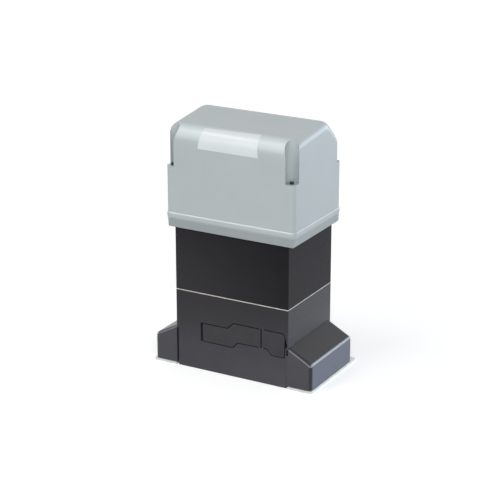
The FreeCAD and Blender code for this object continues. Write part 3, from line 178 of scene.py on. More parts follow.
def scaled(finish, colour, factor):
    """Sets the base colour to a colour times a factor."""
    product = add(finish, "ShaderNodeVectorMath", operation="SCALE")
    finish.node_tree.links.new(colour, product.inputs["Vector"])
    finish.node_tree.links.new(factor, product.inputs["Scale"])
    shader = finish.node_tree.nodes["Principled BSDF"]
    finish.node_tree.links.new(product.outputs["Vector"], shader.inputs["Base Color"])


def coat_with_painted_light(name, colour, painted_foot_colour, roughness, gloss, foot, head, left, right):
    """A dark coat with painted light: paler at its foot, darker at its head, and painted light and shade on
    its front from left to right.
    """
    paint = new_finish(name, colour, roughness)
    paint.node_tree.nodes["Principled BSDF"].inputs["Specular IOR Level"].default_value = gloss
    place = along_axes(paint, on_object(paint))
    # Painted light and shade: the coat's colour runs from a paler foot to a darker head.
    coat = add(paint, "ShaderNodeValToRGB")
    coat.color_ramp.interpolation = "EASE"
    coat.color_ramp.elements[0].color = (*painted_foot_colour, 1.0)
    coat.color_ramp.elements[1].color = (*colour, 1.0)
    paint.node_tree.links.new(between(paint, place["Z"], foot, head), coat.inputs["Fac"])
    clouds = between(paint, cloudy(paint, 30.0), 0.0, 1.0, 0.86, 1.16)
    # Painted light and shade on the front faces only, changing from left to right.
    front_light_along_x = between(paint, place["X"], -case_half_width, case_half_width, left, right)
    turned = facing(paint)["Y"]
    frontal = calculated(paint, "MULTIPLY", turned, turned)
    painted_front_light = calculated(paint, "MULTIPLY", front_light_along_x, frontal)
    scaled(paint, coat.outputs["Color"], calculated(paint, "ADD", clouds, painted_front_light))
    tinted(paint, cloudy(paint, 220.0), grey(roughness - 0.06), grey(roughness + 0.06), "Roughness")
    relief(paint, cloudy(paint, 1400.0, detail=2.0), 0.16, 0.00015)
    relief(paint, cloudy(paint, 420.0, detail=1.0), 0.08, 0.0003)
    return paint


joint_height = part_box("case_gasket")[0][2]
case_half_width, _, case_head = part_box("motor_case")[1]
dress(["gear_case"], coat_with_painted_light("gear_case_paint", colour=(0.016, 0.0155, 0.021),
                                painted_foot_colour=(0.086, 0.082, 0.100), roughness=0.38, gloss=0.36,
                                foot=0.0, head=joint_height, left=-0.47, right=-0.32))
dress(["motor_case"], coat_with_painted_light("motor_case_paint", colour=(0.019, 0.0175, 0.020),
                                 painted_foot_colour=(0.029, 0.027, 0.030), roughness=0.44, gloss=0.06,
                                 foot=joint_height, head=case_head, left=0.40, right=-0.38))

# Joint between the castings: a paper gasket between two milled rims, which stay bare and
# show as a thin light line all round.
joint_metal = new_finish("joint_metal", (0.66, 0.60, 0.54), 0.5, 0.2)
tinted(joint_metal, cloudy(joint_metal, 130.0), (0.56, 0.50, 0.45), (0.74, 0.69, 0.63))
relief(joint_metal, cloudy(joint_metal, 1800.0), 0.2, 0.0002)
dress(["case_gasket"], joint_metal)

# Shafts, pins, bearings, clutch springs and nut, release rod and fork, and sensor bracket: ground
# or turned steel with a very fine grain. A film of oil leaves soft patches in its gloss.
ground_steel = new_finish("ground_steel", (0.50, 0.50, 0.51), 0.28, 1.0)
tinted(ground_steel, cloudy(ground_steel, 90.0), (0.42, 0.42, 0.43), (0.58, 0.58, 0.59))
tinted(ground_steel, cloudy(ground_steel, 300.0), grey(0.20), grey(0.36), "Roughness")
relief(ground_steel, cloudy(ground_steel, 3000.0), 0.08, 0.0001)
dress(["lever_pin", "flap_pin", "lower_bearing", "middle_bearing", "upper_bearing", "output_bearings",
       "output_shaft", "worm_shaft", "disc_springs", "clutch_nut", "drive_key", "release_rod",
       "release_fork", "sensor_bracket"], ground_steel)

# Pinion: hobbed steel, turned on both faces, so fine rings run round its bore. They are tool
# marks, light and dark in turn, and cut a little into the face.
pinion_steel = new_finish("pinion_steel", (0.42, 0.42, 0.43), 0.36, 1.0)
pinion_low, pinion_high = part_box("pinion")
pinion_centre = 0.5 * (pinion_low + pinion_high)
from_axis = add(pinion_steel, "ShaderNodeMapping")
from_axis.inputs["Location"].default_value = (-pinion_centre.x, 0.0, -pinion_centre.z)
pinion_steel.node_tree.links.new(on_object(pinion_steel), from_axis.inputs["Vector"])
rings = add(pinion_steel, "ShaderNodeTexWave", wave_type="RINGS", rings_direction="Y", Scale=260.0,
            Distortion=0.6)
pinion_steel.node_tree.links.new(from_axis.outputs["Vector"], rings.inputs["Vector"])
tinted(pinion_steel, rings.outputs["Fac"], (0.34, 0.34, 0.35), (0.50, 0.50, 0.51))
tinted(pinion_steel, cloudy(pinion_steel, 180.0), grey(0.28), grey(0.46), "Roughness")
relief(pinion_steel, rings.outputs["Fac"], 0.35, 0.0001)
dress(["pinion"], pinion_steel)

# Worm wheel: cast bronze with cut teeth, darker where the oil stays. It sits loose on the output
# shaft, and the clutch grips it from both sides.
bronze = new_finish("bronze", (0.52, 0.34, 0.13), 0.34, 1.0)
tinted(bronze, cloudy(bronze, 160.0), (0.42, 0.26, 0.10), (0.60, 0.40, 0.16))
relief(bronze, cloudy(bronze, 1500.0), 0.15, 0.0002)
dress(["worm_wheel"], bronze)

# Clutch discs: pressed friction lining, brown with light fibres. The disc springs and the nut
# press one on each side of the worm wheel.
lining = new_finish("lining", (0.15, 0.11, 0.08), 0.8)
tinted(lining, cloudy(lining, 900.0, detail=8.0), (0.10, 0.07, 0.05), (0.28, 0.22, 0.17))
relief(lining, cloudy(lining, 1200.0), 0.4, 0.0002)
dress(["clutch_discs"], lining)

# Seals, tray gasket and cable grommet: black rubber with a dull bloom. The seals and the
# grommet are pressed in, and the gasket lies under the tray.
rubber = new_finish("rubber", (0.018, 0.018, 0.018), 0.7)
tinted(rubber, cloudy(rubber, 260.0), (0.012, 0.012, 0.012), (0.030, 0.030, 0.030))
tinted(rubber, cloudy(rubber, 70.0), grey(0.6), grey(0.85), "Roughness")
relief(rubber, cloudy(rubber, 2200.0), 0.2, 0.0001)
dress(["shaft_seal", "output_seal", "carrier_gasket", "cable_grommet"], rubber)

# Motor: laminated steel in the stator and rotor, enamelled copper in the winding heads and
# an aluminium end shield as it comes from the die. The transformer's core and coil are made
# the same way, with its sheets upright.
for name, layers, pieces in (("laminations", (0.01, 0.01, 1.0), ["stator_core", "rotor_core"]),
                             ("transformer_laminations", (0.01, 1.0, 0.01), ["transformer_core"])):
    laminations = new_finish(name, (0.20, 0.20, 0.21), 0.45, 0.85)
    tinted(laminations, cloudy(laminations, 2000.0, stretch=layers), (0.10, 0.10, 0.11),
           (0.34, 0.34, 0.36))
    relief(laminations, cloudy(laminations, 2000.0, stretch=layers), 0.5, 0.0003)
    dress(pieces, laminations)

enamel = new_finish("enamel", (0.45, 0.16, 0.06), 0.3, 0.75)
tinted(enamel, cloudy(enamel, 1200.0, stretch=(0.1, 0.1, 1.0)), (0.26, 0.08, 0.03), (0.60, 0.24, 0.09))
relief(enamel, cloudy(enamel, 1200.0, stretch=(0.1, 0.1, 1.0)), 0.7, 0.0005)
dress(["stator_windings", "transformer_coil"], enamel)

raw_aluminium = new_finish("raw_aluminium", (0.56, 0.57, 0.58), 0.42, 0.9)
tinted(raw_aluminium, cloudy(raw_aluminium, 140.0), (0.46, 0.47, 0.48), (0.64, 0.65, 0.66))
relief(raw_aluminium, cloudy(raw_aluminium, 900.0), 0.25, 0.0003)
dress(["end_shield"], raw_aluminium)

# Release lever and lock flap: black glass filled nylon with a fine spark grain, hung in the
# front recess of the gear case on steel pins.
release_nylon = new_finish("release_nylon", (0.024, 0.022, 0.026), 0.5)
release_nylon.node_tree.nodes["Principled BSDF"].inputs["Specular IOR Level"].default_value = 0.4
tinted(release_nylon, cloudy(release_nylon, 50.0), (0.021, 0.019, 0.023), (0.028, 0.026, 0.030))
tinted(release_nylon, cloudy(release_nylon, 400.0), grey(0.44), grey(0.56), "Roughness")
relief(release_nylon, cloudy(release_nylon, 2400.0), 0.2, 0.0001)
dress(["release_lever", "lock_flap"], release_nylon)

# Lock barrel: die cast zinc with a nickel finish, set in the front of the gear case behind the
# lock flap.
lock_nickel = new_finish("lock_nickel", (0.62, 0.59, 0.50), 0.22, 1.0)
tinted(lock_nickel, cloudy(lock_nickel, 420.0), (0.54, 0.51, 0.43), (0.68, 0.65, 0.56))
relief(lock_nickel, cloudy(lock_nickel, 2400.0), 0.06, 0.0001)
dress(["lock_barrel"], lock_nickel)

# Foot covers: dark grey ABS mouldings with soft edges, clipped over the bolted feet.
# Their outer sides carry a painted bluish reflection, their ends are painted lighter, and their
# upper edges carry painted highlights.
def laid_over(finish, below, colour, share):
    """A layer of a colour, over what is below, where its share is more than nothing."""
    layer = add(finish, "ShaderNodeMix", data_type="RGBA")
    layer.inputs["B"].default_value = (*colour, 1.0)
    finish.node_tree.links.new(share, layer.inputs["Factor"])
    finish.node_tree.links.new(below, layer.inputs["A"])
    return layer.outputs["Result"]


def times(first, second):
    """The product of two outputs of the covers' nodes."""
    return calculated(cover_abs, "MULTIPLY", first, second)


# Colours of the covers' own dark grey, the painted end light, the painted side reflection and the painted
# edge highlights.
cover_dark, end_light_colour = (0.016, 0.0155, 0.020), (0.056, 0.053, 0.064)
side_reflection_colour, edge_highlight_colour = (0.120, 0.137, 0.188), (0.32, 0.34, 0.38)
cover_abs = new_finish("cover_abs", cover_dark, 0.31)
cover_abs.node_tree.nodes["Principled BSDF"].inputs["Specular IOR Level"].default_value = 0.38
cover_facing = facing(cover_abs)
sideways, endways = (times(cover_facing[axis], cover_facing[axis]) for axis in "XY")
upwards = between(cover_abs, cover_facing["Z"], 0.05, 0.30)
shoulder = times(between(cover_abs, sideways, 0.30, 0.62), between(cover_abs, sideways, 0.98, 0.86))
outer_edge = times(shoulder, upwards)
end_edge = times(between(cover_abs, endways, 0.10, 0.62), between(cover_abs, endways, 0.98, 0.55))
end_edge = times(times(end_edge, upwards), upwards)
end_edge = times(times(end_edge, end_edge), end_edge)
coat = tinted(cover_abs, cloudy(cover_abs, 26.0), [0.86 * c for c in cover_dark],
              [1.14 * c for c in cover_dark])
# Painted light: ends painted lighter, outer sides a painted bluish reflection, upper edges painted
# highlights.
painted_end_light = between(cover_abs, endways, 0.60, 0.98)
painted_side_reflection = between(cover_abs, sideways, 0.80, 1.0)
painted_edge_highlight = calculated(cover_abs, "MAXIMUM", outer_edge, end_edge)
colour = laid_over(cover_abs, coat.outputs["Color"], end_light_colour, painted_end_light)
colour = laid_over(cover_abs, colour, side_reflection_colour, painted_side_reflection)
colour = laid_over(cover_abs, colour, edge_highlight_colour, painted_edge_highlight)
cover_shader = cover_abs.node_tree.nodes["Principled BSDF"]
cover_abs.node_tree.links.new(colour, cover_shader.inputs["Base Color"])
tinted(cover_abs, cloudy(cover_abs, 120.0), grey(0.28), grey(0.34), "Roughness")
relief(cover_abs, cloudy(cover_abs, 2000.0), 0.05, 0.0001)
dress(["left_foot_cover", "right_foot_cover"], cover_abs)

# Board tray, board panel, sensor, relays and button caps: black moulded plastic. The tray lies
# on the motor case and carries the panel, and the caps stand in the board's switches.
black_plastic = new_finish("black_plastic", (0.022, 0.022, 0.024), 0.42)
tinted(black_plastic, cloudy(black_plastic, 40.0), (0.018, 0.018, 0.020), (0.028, 0.028, 0.031))
tinted(black_plastic, cloudy(black_plastic, 500.0), grey(0.34), grey(0.5), "Roughness")
relief(black_plastic, cloudy(black_plastic, 2400.0), 0.15, 0.0001)
dress(["limit_sensor", "board_carrier", "board_panel", "relays", "button_open", "button_close",
       "button_program"], black_plastic)

# Control board: green solder mask over copper tracks on glass laminate. White frames are
# printed round the large parts, and four screws hold it on the panel.
mm = 0.001
solder_mask = new_finish("solder_mask", (0.02, 0.14, 0.05), 0.28)
tracks = add(solder_mask, "ShaderNodeTexBrick", Scale=1.0, Mortar_Size=0.22 * mm, Brick_Width=9.0 * mm,
             Row_Height=1.7 * mm, Color1=(0.010, 0.085, 0.030, 1.0), Color2=(0.016, 0.115, 0.042, 1.0),
             Mortar=(0.035, 0.21, 0.085, 1.0))
upright = add(solder_mask, "ShaderNodeMapping")
upright.inputs["Rotation"].default_value = (math.radians(-90.0), 0.0, 0.0)
solder_mask.node_tree.links.new(on_object(solder_mask), upright.inputs["Vector"])
solder_mask.node_tree.links.new(upright.outputs["Vector"], tracks.inputs["Vector"])
solder_mask.node_tree.links.new(tracks.outputs["Color"],
                                solder_mask.node_tree.nodes["Principled BSDF"].inputs["Base Color"])
tinted(solder_mask, cloudy(solder_mask, 500.0), grey(0.22), grey(0.36), "Roughness")
relief(solder_mask, tracks.outputs["Fac"], 0.3, 0.00005)
dress(["control_board"], solder_mask)
laminate_thickness = 1.6
board_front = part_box("control_board")[1].y / mm - laminate_thickness


def add_block(mesh, x_range, y_range, z_range, edge=0.0, segments=2):
    """Adds a block between limits in millimetres, with its edges rounded off."""
    made = bmesh.ops.create_cube(mesh, size=1.0)["verts"]
    low, high = (Vector(corner) * mm for corner in zip(x_range, y_range, z_range))
    bmesh.ops.scale(mesh, vec=high - low, verts=made)
    bmesh.ops.translate(mesh, vec=(low + high) / 2, verts=made)
    if edge:
        edges = list({e for v in made for e in v.link_edges})
        bmesh.ops.bevel(mesh, geom=edges, offset=edge * mm, offset_type="OFFSET", segments=segments,
                        profile=0.5, affect="EDGES", material=-1)


def add_turned(mesh, outline, centre, axis, steps=32):
    """Spins an outline of radius and height pairs, in millimetres, round an axis through a centre."""
    axis, centre = Vector(axis), Vector(centre) * mm
    outward = axis.orthogonal().normalized()
    verts = [mesh.verts.new(centre + outward * radius * mm + axis * along * mm)
             for radius, along in outline]
    edges = [mesh.edges.new(pair) for pair in zip(verts, verts[1:])]
    bmesh.ops.spin(mesh, geom=verts + edges, cent=centre, axis=axis, dvec=(0, 0, 0), angle=math.tau,
                   steps=steps, use_merge=True, use_duplicate=False)


weld_distance = 1e-6


def new_piece(name, mesh, finish, body):
    """Closes a mesh into a piece with a finish, and fixes it to a body."""
    bmesh.ops.remove_doubles(mesh, verts=mesh.verts, dist=weld_distance)
    bmesh.ops.recalc_face_normals(mesh, faces=mesh.faces)
    data = bpy.data.meshes.new(name)
    mesh.to_mesh(data)
    mesh.free()
    data.materials.append(finish)
    piece = bpy.data.objects.new(name, data)
    bpy.context.scene.collection.objects.link(piece)
    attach(piece, body)
    return piece


def mottled(name, colour, roughness, metallic=0.0, scale=200.0, spread=0.12):
    """A finish whose colour and gloss wander a little, over a fine grain."""
    finish = new_finish(name, colour, roughness, metallic)
    tinted(finish, cloudy(finish, scale), [c * (1 - spread) for c in colour],
           [c * (1 + spread) for c in colour])
    tinted(finish, cloudy(finish, 2.0 * scale), grey(roughness - 0.06), grey(roughness + 0.06), "Roughness")
    relief(finish, cloudy(finish, 2400.0), 0.1, 0.0001)
    return finish


def on_board(height, sunk=0.05):
    """Reaches from a height in front of the board to a little inside it."""
    return board_front - height, board_front + sunk


print_height, print_width = 0.06, 0.25
printed_frames = ((6.5, 62.5, 264.5, 296.5), (-29.5, -0.5, 290.5, 307.5), (-24.5, -3.5, 265.5, 286.5),
                  (-66.0, -34.0, 293.5, 302.5), (22.0, 60.0, 307.5, 323.5), (-61.0, -34.0, 313.5, 322.5))
frames = bmesh.new()
for left, right, low, high in printed_frames:
    add_block(frames, (left, right), on_board(print_height, 0.1), (low, low + print_width))
    add_block(frames, (left, right), on_board(print_height, 0.1), (high - print_width, high))
    add_block(frames, (left, left + print_width), on_board(print_height, 0.1), (low, high))
    add_block(frames, (right - print_width, right), on_board(print_height, 0.1), (low, high))
new_piece("board_print", frames, mottled("print_white", (0.74, 0.75, 0.72), 0.6), "frame")

# Chips: the controller, four rows of legs round a moulded square, and two small drivers under
# the buttons. They are soldered flat on the board.
leg_pitch, leg_reach, leg_half, leg_height = 1.27, 1.3, 0.2, 0.35


def either_side(side, near, far):
    """The range from near to far, on the side -1 or 1 of nought."""
    return sorted((side * near, side * far))


def add_chip(bodies, legs, x, z, half_x, half_z, height, sides):
    """Adds a chip's body, and its legs along one pair of sides or along both."""
    add_block(bodies, (x - half_x, x + half_x), (board_front - height, board_front - 0.15),
              (z - half_z, z + half_z), 0.25)
    for row_axis, half, reach in (("x", half_x, half_z), ("z", half_z, half_x))[:sides]:
        count = int((2 * half - leg_pitch) / leg_pitch)
        for i in range(count):
            place = (i - (count - 1) / 2) * leg_pitch
            along_row = (place - leg_half, place + leg_half)
            for side in (-1, 1):
                across = either_side(side, reach, reach + leg_reach)
                x_range, z_range = (along_row, across) if row_axis == "x" else (across, along_row)
                add_block(legs, [x + edge for edge in x_range], on_board(leg_height),
                          [z + edge for edge in z_range])


chip_bodies, chip_legs = bmesh.new(), bmesh.new()
add_chip(chip_bodies, chip_legs, -14.0, 276.0, 8.0, 8.0, 2.3, sides=2)
for chip_x in (-52.0, -37.0):
    add_chip(chip_bodies, chip_legs, chip_x, 287.0, 3.2, 2.0, 1.7, sides=1)
tinned = mottled("tinned", (0.66, 0.66, 0.63), 0.30, 1.0, 400.0)
chip_resin = mottled("chip_resin", (0.020, 0.020, 0.021), 0.5, scale=400.0)
new_piece("chip_bodies", chip_bodies, chip_resin, "frame")
new_piece("chip_legs", chip_legs, tinned, "frame")

# Buttons' switches, chokes, display and radio module: the board's solids carry their forms, and
# thin skins give each its own material: tinned frames, lacquered wire and dark windows.
switch_frames, choke_wire, choke_tops = bmesh.new(), bmesh.new(), bmesh.new()
frame_inner, frame_outer, frame_depth = 2.0, 3.2, (board_front - 4.1, board_front - 2.4)
wire_outline = ((4.5, 0.6), (4.75, 0.9), (4.75, 12.2), (4.5, 12.5), (4.5, 0.6))
top_outline = ((0, 13.9), (4.4, 13.9), (4.4, 14.2), (4.0, 14.5), (0, 14.5))
for button, choke_shift in (("button_open", 2.0), ("button_close", 5.0), ("button_program", 8.0)):
    low, high = (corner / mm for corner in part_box(button))
    x, z = 0.5 * (low.x + high.x), 0.5 * (low.z + high.z)
    for side in (-1, 1):
        inner, outer = either_side(side, frame_inner, frame_outer)
        add_block(switch_frames, (x + inner, x + outer), frame_depth, (z - frame_outer, z + frame_outer))
        add_block(switch_frames, (x - frame_inner, x + frame_inner), frame_depth, (z + inner, z + outer))
    choke = (x + choke_shift, board_front, 276.0)
    add_turned(choke_wire, wire_outline, choke, (0, -1, 0), 28)
    add_turned(choke_tops, top_outline, choke, (0, -1, 0), 28)
new_piece("switch_frames", switch_frames, tinned, "frame")
wire = mottled("choke_wire", (0.40, 0.13, 0.05), 0.28, 0.7, 300.0)
wire_pitch = 0.6 * mm
turns = add(wire, "ShaderNodeTexWave", bands_direction="Y", Scale=bands_per_metre / wire_pitch)
wire.node_tree.links.new(on_object(wire), turns.inputs["Vector"])
relief(wire, turns.outputs["Fac"], 0.9, 0.0002)
new_piece("choke_wire", choke_wire, wire, "frame")
new_piece("choke_tops", choke_tops, mottled("ferrite", (0.045, 0.043, 0.043), 0.5), "frame")
module_cases, module_windows = bmesh.new(), bmesh.new()
modules = ((-28.1, -1.9, 291.9, 306.1, 8.05), (3.9, 18.1, 299.9, 307.1, 5.05))
window_rim = 1.6
for left, right, low, high, depth in modules:
    case_front = board_front - depth
    add_block(module_cases, (left, right), (case_front, board_front - 0.4), (low, high), 0.4)
    window_width = (left + window_rim, right - window_rim)
    add_block(module_windows, window_width, (case_front - 0.25, case_front + 0.3),
              (low + window_rim, high - window_rim), 0.15)
module_grey = mottled("module_grey", (0.055, 0.056, 0.060), 0.45)
new_piece("module_cases", module_cases, module_grey, "frame")
smoked_window = mottled("smoked_window", (0.012, 0.004, 0.005), 0.12)
new_piece("module_windows", module_windows, smoked_window, "frame")

# Small resistors: fired ceramic chips with tinned ends, soldered flat on the board in rows
# between the larger parts.
resistor_bodies, resistor_ends = bmesh.new(), bmesh.new()
resistor_rows = ((-66.0, 268.0, 9, 5.0), (-20.0, 312.0, 8, 4.6), (-66.0, 308.0, 8, 4.6),
                 (22.0, 302.0, 9, 4.6))
chip_half, chip_end, chip_half_height, tin = 0.9, 1.25, 0.6, 0.02
for start, z, count, pitch in resistor_rows:
    for i in range(count):
        x = start + i * pitch
        add_block(resistor_bodies, (x - chip_half, x + chip_half), on_board(0.55),
                  (z - chip_half_height, z + chip_half_height))
        for side in (-1, 1):
            inner, outer = either_side(side, chip_half, chip_end)
            add_block(resistor_ends, (x + inner, x + outer), on_board(0.6),
                      (z - chip_half_height - tin, z + chip_half_height + tin))
fired_ceramic = mottled("fired_ceramic", (0.035, 0.034, 0.034), 0.3)
new_piece("resistor_bodies", resistor_bodies, fired_ceramic, "frame")
new_piece("resistor_ends", resistor_ends, tinned, "frame")

# Smoothing capacitors: aluminium cans in a dark blue sleeve that is shrunk over their shoulder.
# The bare lid has a cross stamped in it, where it opens if the can boils.
sleeves, lids = bmesh.new(), bmesh.new()
sleeve_outline = ((0, 0), (4.9, 0), (5.0, 0.4), (5.0, 10.2), (4.8, 10.7), (4.0, 10.9), (4.0, 10.5),
                  (0, 10.5))
lid_outline = ((0, 10.4), (3.9, 10.4), (3.9, 10.65), (0, 10.65))
can_z, cross_length, cross_width = 315.5, 3.2, 0.18
for x in (28.0, 41.0, 54.0):
    add_turned(sleeves, sleeve_outline, (x, board_front, can_z), (0, -1, 0))
    add_turned(lids, lid_outline, (x, board_front, can_z), (0, -1, 0), 24)
    for x_half, z_half in ((cross_length, cross_width), (cross_width, cross_length)):
        add_block(lids, (x - x_half, x + x_half), (board_front - 10.8, board_front - 10.6),
                  (can_z - z_half, can_z + z_half))
sleeve_blue = mottled("sleeve_blue", (0.012, 0.022, 0.065), 0.32)
new_piece("smoothing_capacitors", sleeves, sleeve_blue, "frame")
can_aluminium = mottled("can_aluminium", (0.62, 0.63, 0.64), 0.28, 0.95)
new_piece("capacitor_lids", lids, can_aluminium, "frame")

# Fuse: a ceramic tube with plated caps, held in two sprung clips of tinned bronze that are
# soldered in the board.
fuse_z, fuse_y = 318.0, board_front - 4.6
tube_outline = ((0, 0), (2.3, 0), (2.3, 12.0), (0, 12.0))
cap_outline = ((0, 0), (2.4, 0), (2.6, 0.3), (2.6, 4.2), (2.4, 4.5), (0, 4.5))
tube, caps, clips = bmesh.new(), bmesh.new(), bmesh.new()
add_turned(tube, tube_outline, (-53.5, fuse_y, fuse_z), (1, 0, 0), 24)
for x in (-57.5, -41.5):
    clip_width = (x + 0.6, x + 3.9)
    add_turned(caps, cap_outline, (x, fuse_y, fuse_z), (1, 0, 0), 24)
    for z_low, z_high in ((-3.2, -2.7), (2.7, 3.2)):
        add_block(clips, clip_width, on_board(7.2), (fuse_z + z_low, fuse_z + z_high), 0.15)
    add_block(clips, clip_width, (board_front - 1.0, board_front - 0.5), (fuse_z - 3.0, fuse_z + 3.0), 0.15)
new_piece("fuse_tube", tube, mottled("ceramic_tube", (0.70, 0.67, 0.60), 0.45), "frame")
new_piece("fuse_caps", caps, tinned, "frame")
new_piece("fuse_clips", clips, tinned, "frame")

# Signal lamps: a row of small domed diodes over the terminals, red and green in turn, moulded
# in tinted resin.
dome_outline = ((0, 0), (1.3, 0), (1.3, 0.8), (1.05, 0.8), (1.0, 1.9), (0.75, 2.6), (0.4, 2.95),
                (0, 3.05))
dome_count, dome_pitch = 10, 5.08
for name, colour, first in (("red_lamps", (0.55, 0.02, 0.015), 0), ("green_lamps", (0.03, 0.42, 0.06), 1)):
    domes = bmesh.new()
    for i in range(first, dome_count, 2):
        add_turned(domes, dome_outline, (-56.0 + dome_pitch * i, board_front, 263.4), (0, -1, 0), 20)
    new_piece(name, domes, mottled(name, colour, 0.16), "frame")

# Plug sockets and varistor: two nylon headers with their pins at the top of the board, and a
# blue dipped disc beside the fuse that takes the surges of the mains.
sockets, pins = bmesh.new(), bmesh.new()
pin_pitch, pin_half, socket_end, socket_side = 2.54, 0.32, 0.8, 0.9
socket_low, socket_high, socket_depth = 318.0, 325.0, (board_front - 7.0, board_front - 1.0)
for start, ways in ((-18.0, 6), (2.0, 4)):
    end = start + pin_pitch * ways
    add_block(sockets, (start, end), (board_front - 1.4, board_front), (socket_low, socket_high), 0.3)
    for z_range in ((socket_low, socket_low + socket_side), (socket_high - socket_side, socket_high)):
        add_block(sockets, (start, end), socket_depth, z_range, 0.2)
    for x_range in ((start, start + socket_end), (end - socket_end, end)):
        add_block(sockets, x_range, socket_depth, (socket_low, socket_high), 0.2)
    for i in range(ways):
        x = start + pin_pitch * (i + 0.5)
        add_block(pins, (x - pin_half, x + pin_half), (board_front - 6.4, board_front - 1.0),
                  (321.2, 321.8), 0.1)
socket_nylon = mottled("socket_nylon", (0.70, 0.68, 0.62), 0.42)
new_piece("plug_sockets", sockets, socket_nylon, "frame")
new_piece("socket_pins", pins, tinned, "frame")
disc = bmesh.new()
disc_outline = ((0, -1.6), (3.6, -1.6), (4.6, -1.1), (5.0, 0), (4.6, 1.1), (3.6, 1.6), (0, 1.6))
disc_x, lead_half = -27.0, 0.3
add_turned(disc, disc_outline, (disc_x, board_front - 6.4, 319.0), (1, 0, 0), 28)
for z in (316.6, 321.4):
    add_block(disc, (disc_x - lead_half, disc_x + lead_half), on_board(3.0), (z - lead_half, z + lead_half))
new_piece("varistor", disc, mottled("dipped_blue", (0.012, 0.060, 0.24), 0.34), "frame")

# Terminal rows: green moulded blocks with cage clamps. Each way has a slotted screw, sunk in
# the front of the block, that presses the clamp on the wire.
terminal_green = mottled("terminal_green", (0.045, 0.28, 0.11), 0.4)
dress(["terminal_blocks"], terminal_green)
terminal_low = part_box("terminal_blocks")[0] / mm
terminal_pitch, terminal_gap = 5.08, 3.5
head_outline = ((0, 0), (1.55, 0), (1.55, 1.0), (1.4, 1.2), (0, 1.2))
screw_heads = bmesh.new()
x = terminal_low.x + 0.5 * terminal_pitch
for ways in (7, 7, 9):
    for i in range(ways):
        centre = (x, terminal_low.y + 4.0, terminal_low.z + 8.5)
        add_turned(screw_heads, head_outline, centre, (0, -1, 0), 16)
        for side in (-1, 1):
            inner, outer = either_side(side, 0.25, 1.1)
            add_block(screw_heads, (x - 1.0, x + 1.0), (centre[1] - 1.45, centre[1] - 1.15),
                      (centre[2] + inner, centre[2] + outer), 0.1)
        x += terminal_pitch
    x += terminal_gap
new_piece("terminal_screws", screw_heads, fastener_zinc, "frame")

# Relays: black moulded covers, glued on a base, with a small breather nib on the top of each.
# They show in place of the plain blocks of the frame.
relay_covers = bmesh.new()
relay_low, relay_high = (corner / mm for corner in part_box("relays"))
relay_width, relay_pitch, base_lip, base_height = 15.0, 19.0, 0.3, 2.6
nib_outline = ((0, -0.5), (1.2, -0.5), (1.2, 0.0), (0.9, 0.0), (0, 0.0))
for i in range(3):
    x = relay_low.x + i * relay_pitch
    add_block(relay_covers, (x + base_lip, x + relay_width - base_lip), (relay_low.y, relay_high.y - 2.0),
              (relay_low.z + base_lip, relay_high.z - base_lip), 0.8, 3)
    add_block(relay_covers, (x, x + relay_width), (relay_high.y - base_height, relay_high.y),
              (relay_low.z, relay_high.z), 0.3)
    add_turned(relay_covers, nib_outline, (x + 3.2, relay_low.y, relay_high.z - 4.0), (0, -1, 0), 20)
relay_piece = new_piece("relay_covers", relay_covers, black_plastic, "frame")
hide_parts("relays")

# Transformer: the coil is wound on a bobbin and closed with amber polyester tape, which is cut
# from the coil's own outside and lies a little proud of it.
tape_low, tape_high, tape_lift = 0.2500, 0.2730, 0.0003
tape = bmesh.new()
tape.from_mesh(nodes["transformer_coil"].data)
bmesh.ops.remove_doubles(tape, verts=tape.verts, dist=weld_distance)
for height, normal in ((tape_low, (0, 0, -1)), (tape_high, (0, 0, 1))):
    whole = tape.verts[:] + tape.edges[:] + tape.faces[:]
    bmesh.ops.bisect_plane(tape, geom=whole, plane_co=(0, 0, height), plane_no=normal, clear_outer=True)
coil_low, coil_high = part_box("transformer_coil")
coil_centre = 0.5 * (coil_low + coil_high)
inner = [f for f in tape.faces if f.normal.xy.dot((f.calc_center_median() - coil_centre).xy) < 0]
bmesh.ops.delete(tape, geom=inner, context="FACES")
bmesh.ops.solidify(tape, geom=tape.faces[:], thickness=-tape_lift)
new_piece("coil_tape", tape, mottled("amber_tape", (0.58, 0.36, 0.05), 0.24), "frame")

# Run capacitor: a pale moulded can with two tab terminals, which stands on the tray in a steel
# band with a clamp screw.
dress(["run_capacitor"], mottled("can_plastic", (0.68, 0.68, 0.66), 0.4, scale=60.0, spread=0.06))
can_x, can_y, can_radius = -42.0, 30.0, 19.0
band_low, band_high = 246.0, 258.0
band_inner, band_outer = can_radius + 0.05, can_radius + 0.85
band = bmesh.new()
band_outline = ((band_inner, band_low), (band_outer, band_low), (band_outer, band_high),
                (band_inner, band_high), (band_inner, band_low))
add_turned(band, band_outline, (can_x, can_y, 0), (0, 0, 1), 48)
can_front, ear_inner, ear_outer, ear_reach = can_y - can_radius, 2.2, 3.0, 8.0
for x_range in ((can_x - ear_outer, can_x - ear_inner), (can_x + ear_inner, can_x + ear_outer)):
    add_block(band, x_range, (can_front - ear_reach, can_front - 0.3), (band_low, band_high), 0.2)
clamp_outline = ((0, 0), (1.6, 0), (1.6, 8.6), (3.0, 8.6), (3.0, 10.6), (2.6, 11.0), (0, 11.0))
clamp_start = (can_x - 5.0, can_front - 5.0, 0.5 * (band_low + band_high))
add_turned(band, clamp_outline, clamp_start, (1, 0, 0), 20)
new_piece("capacitor_band", band, fastener_zinc, "frame")
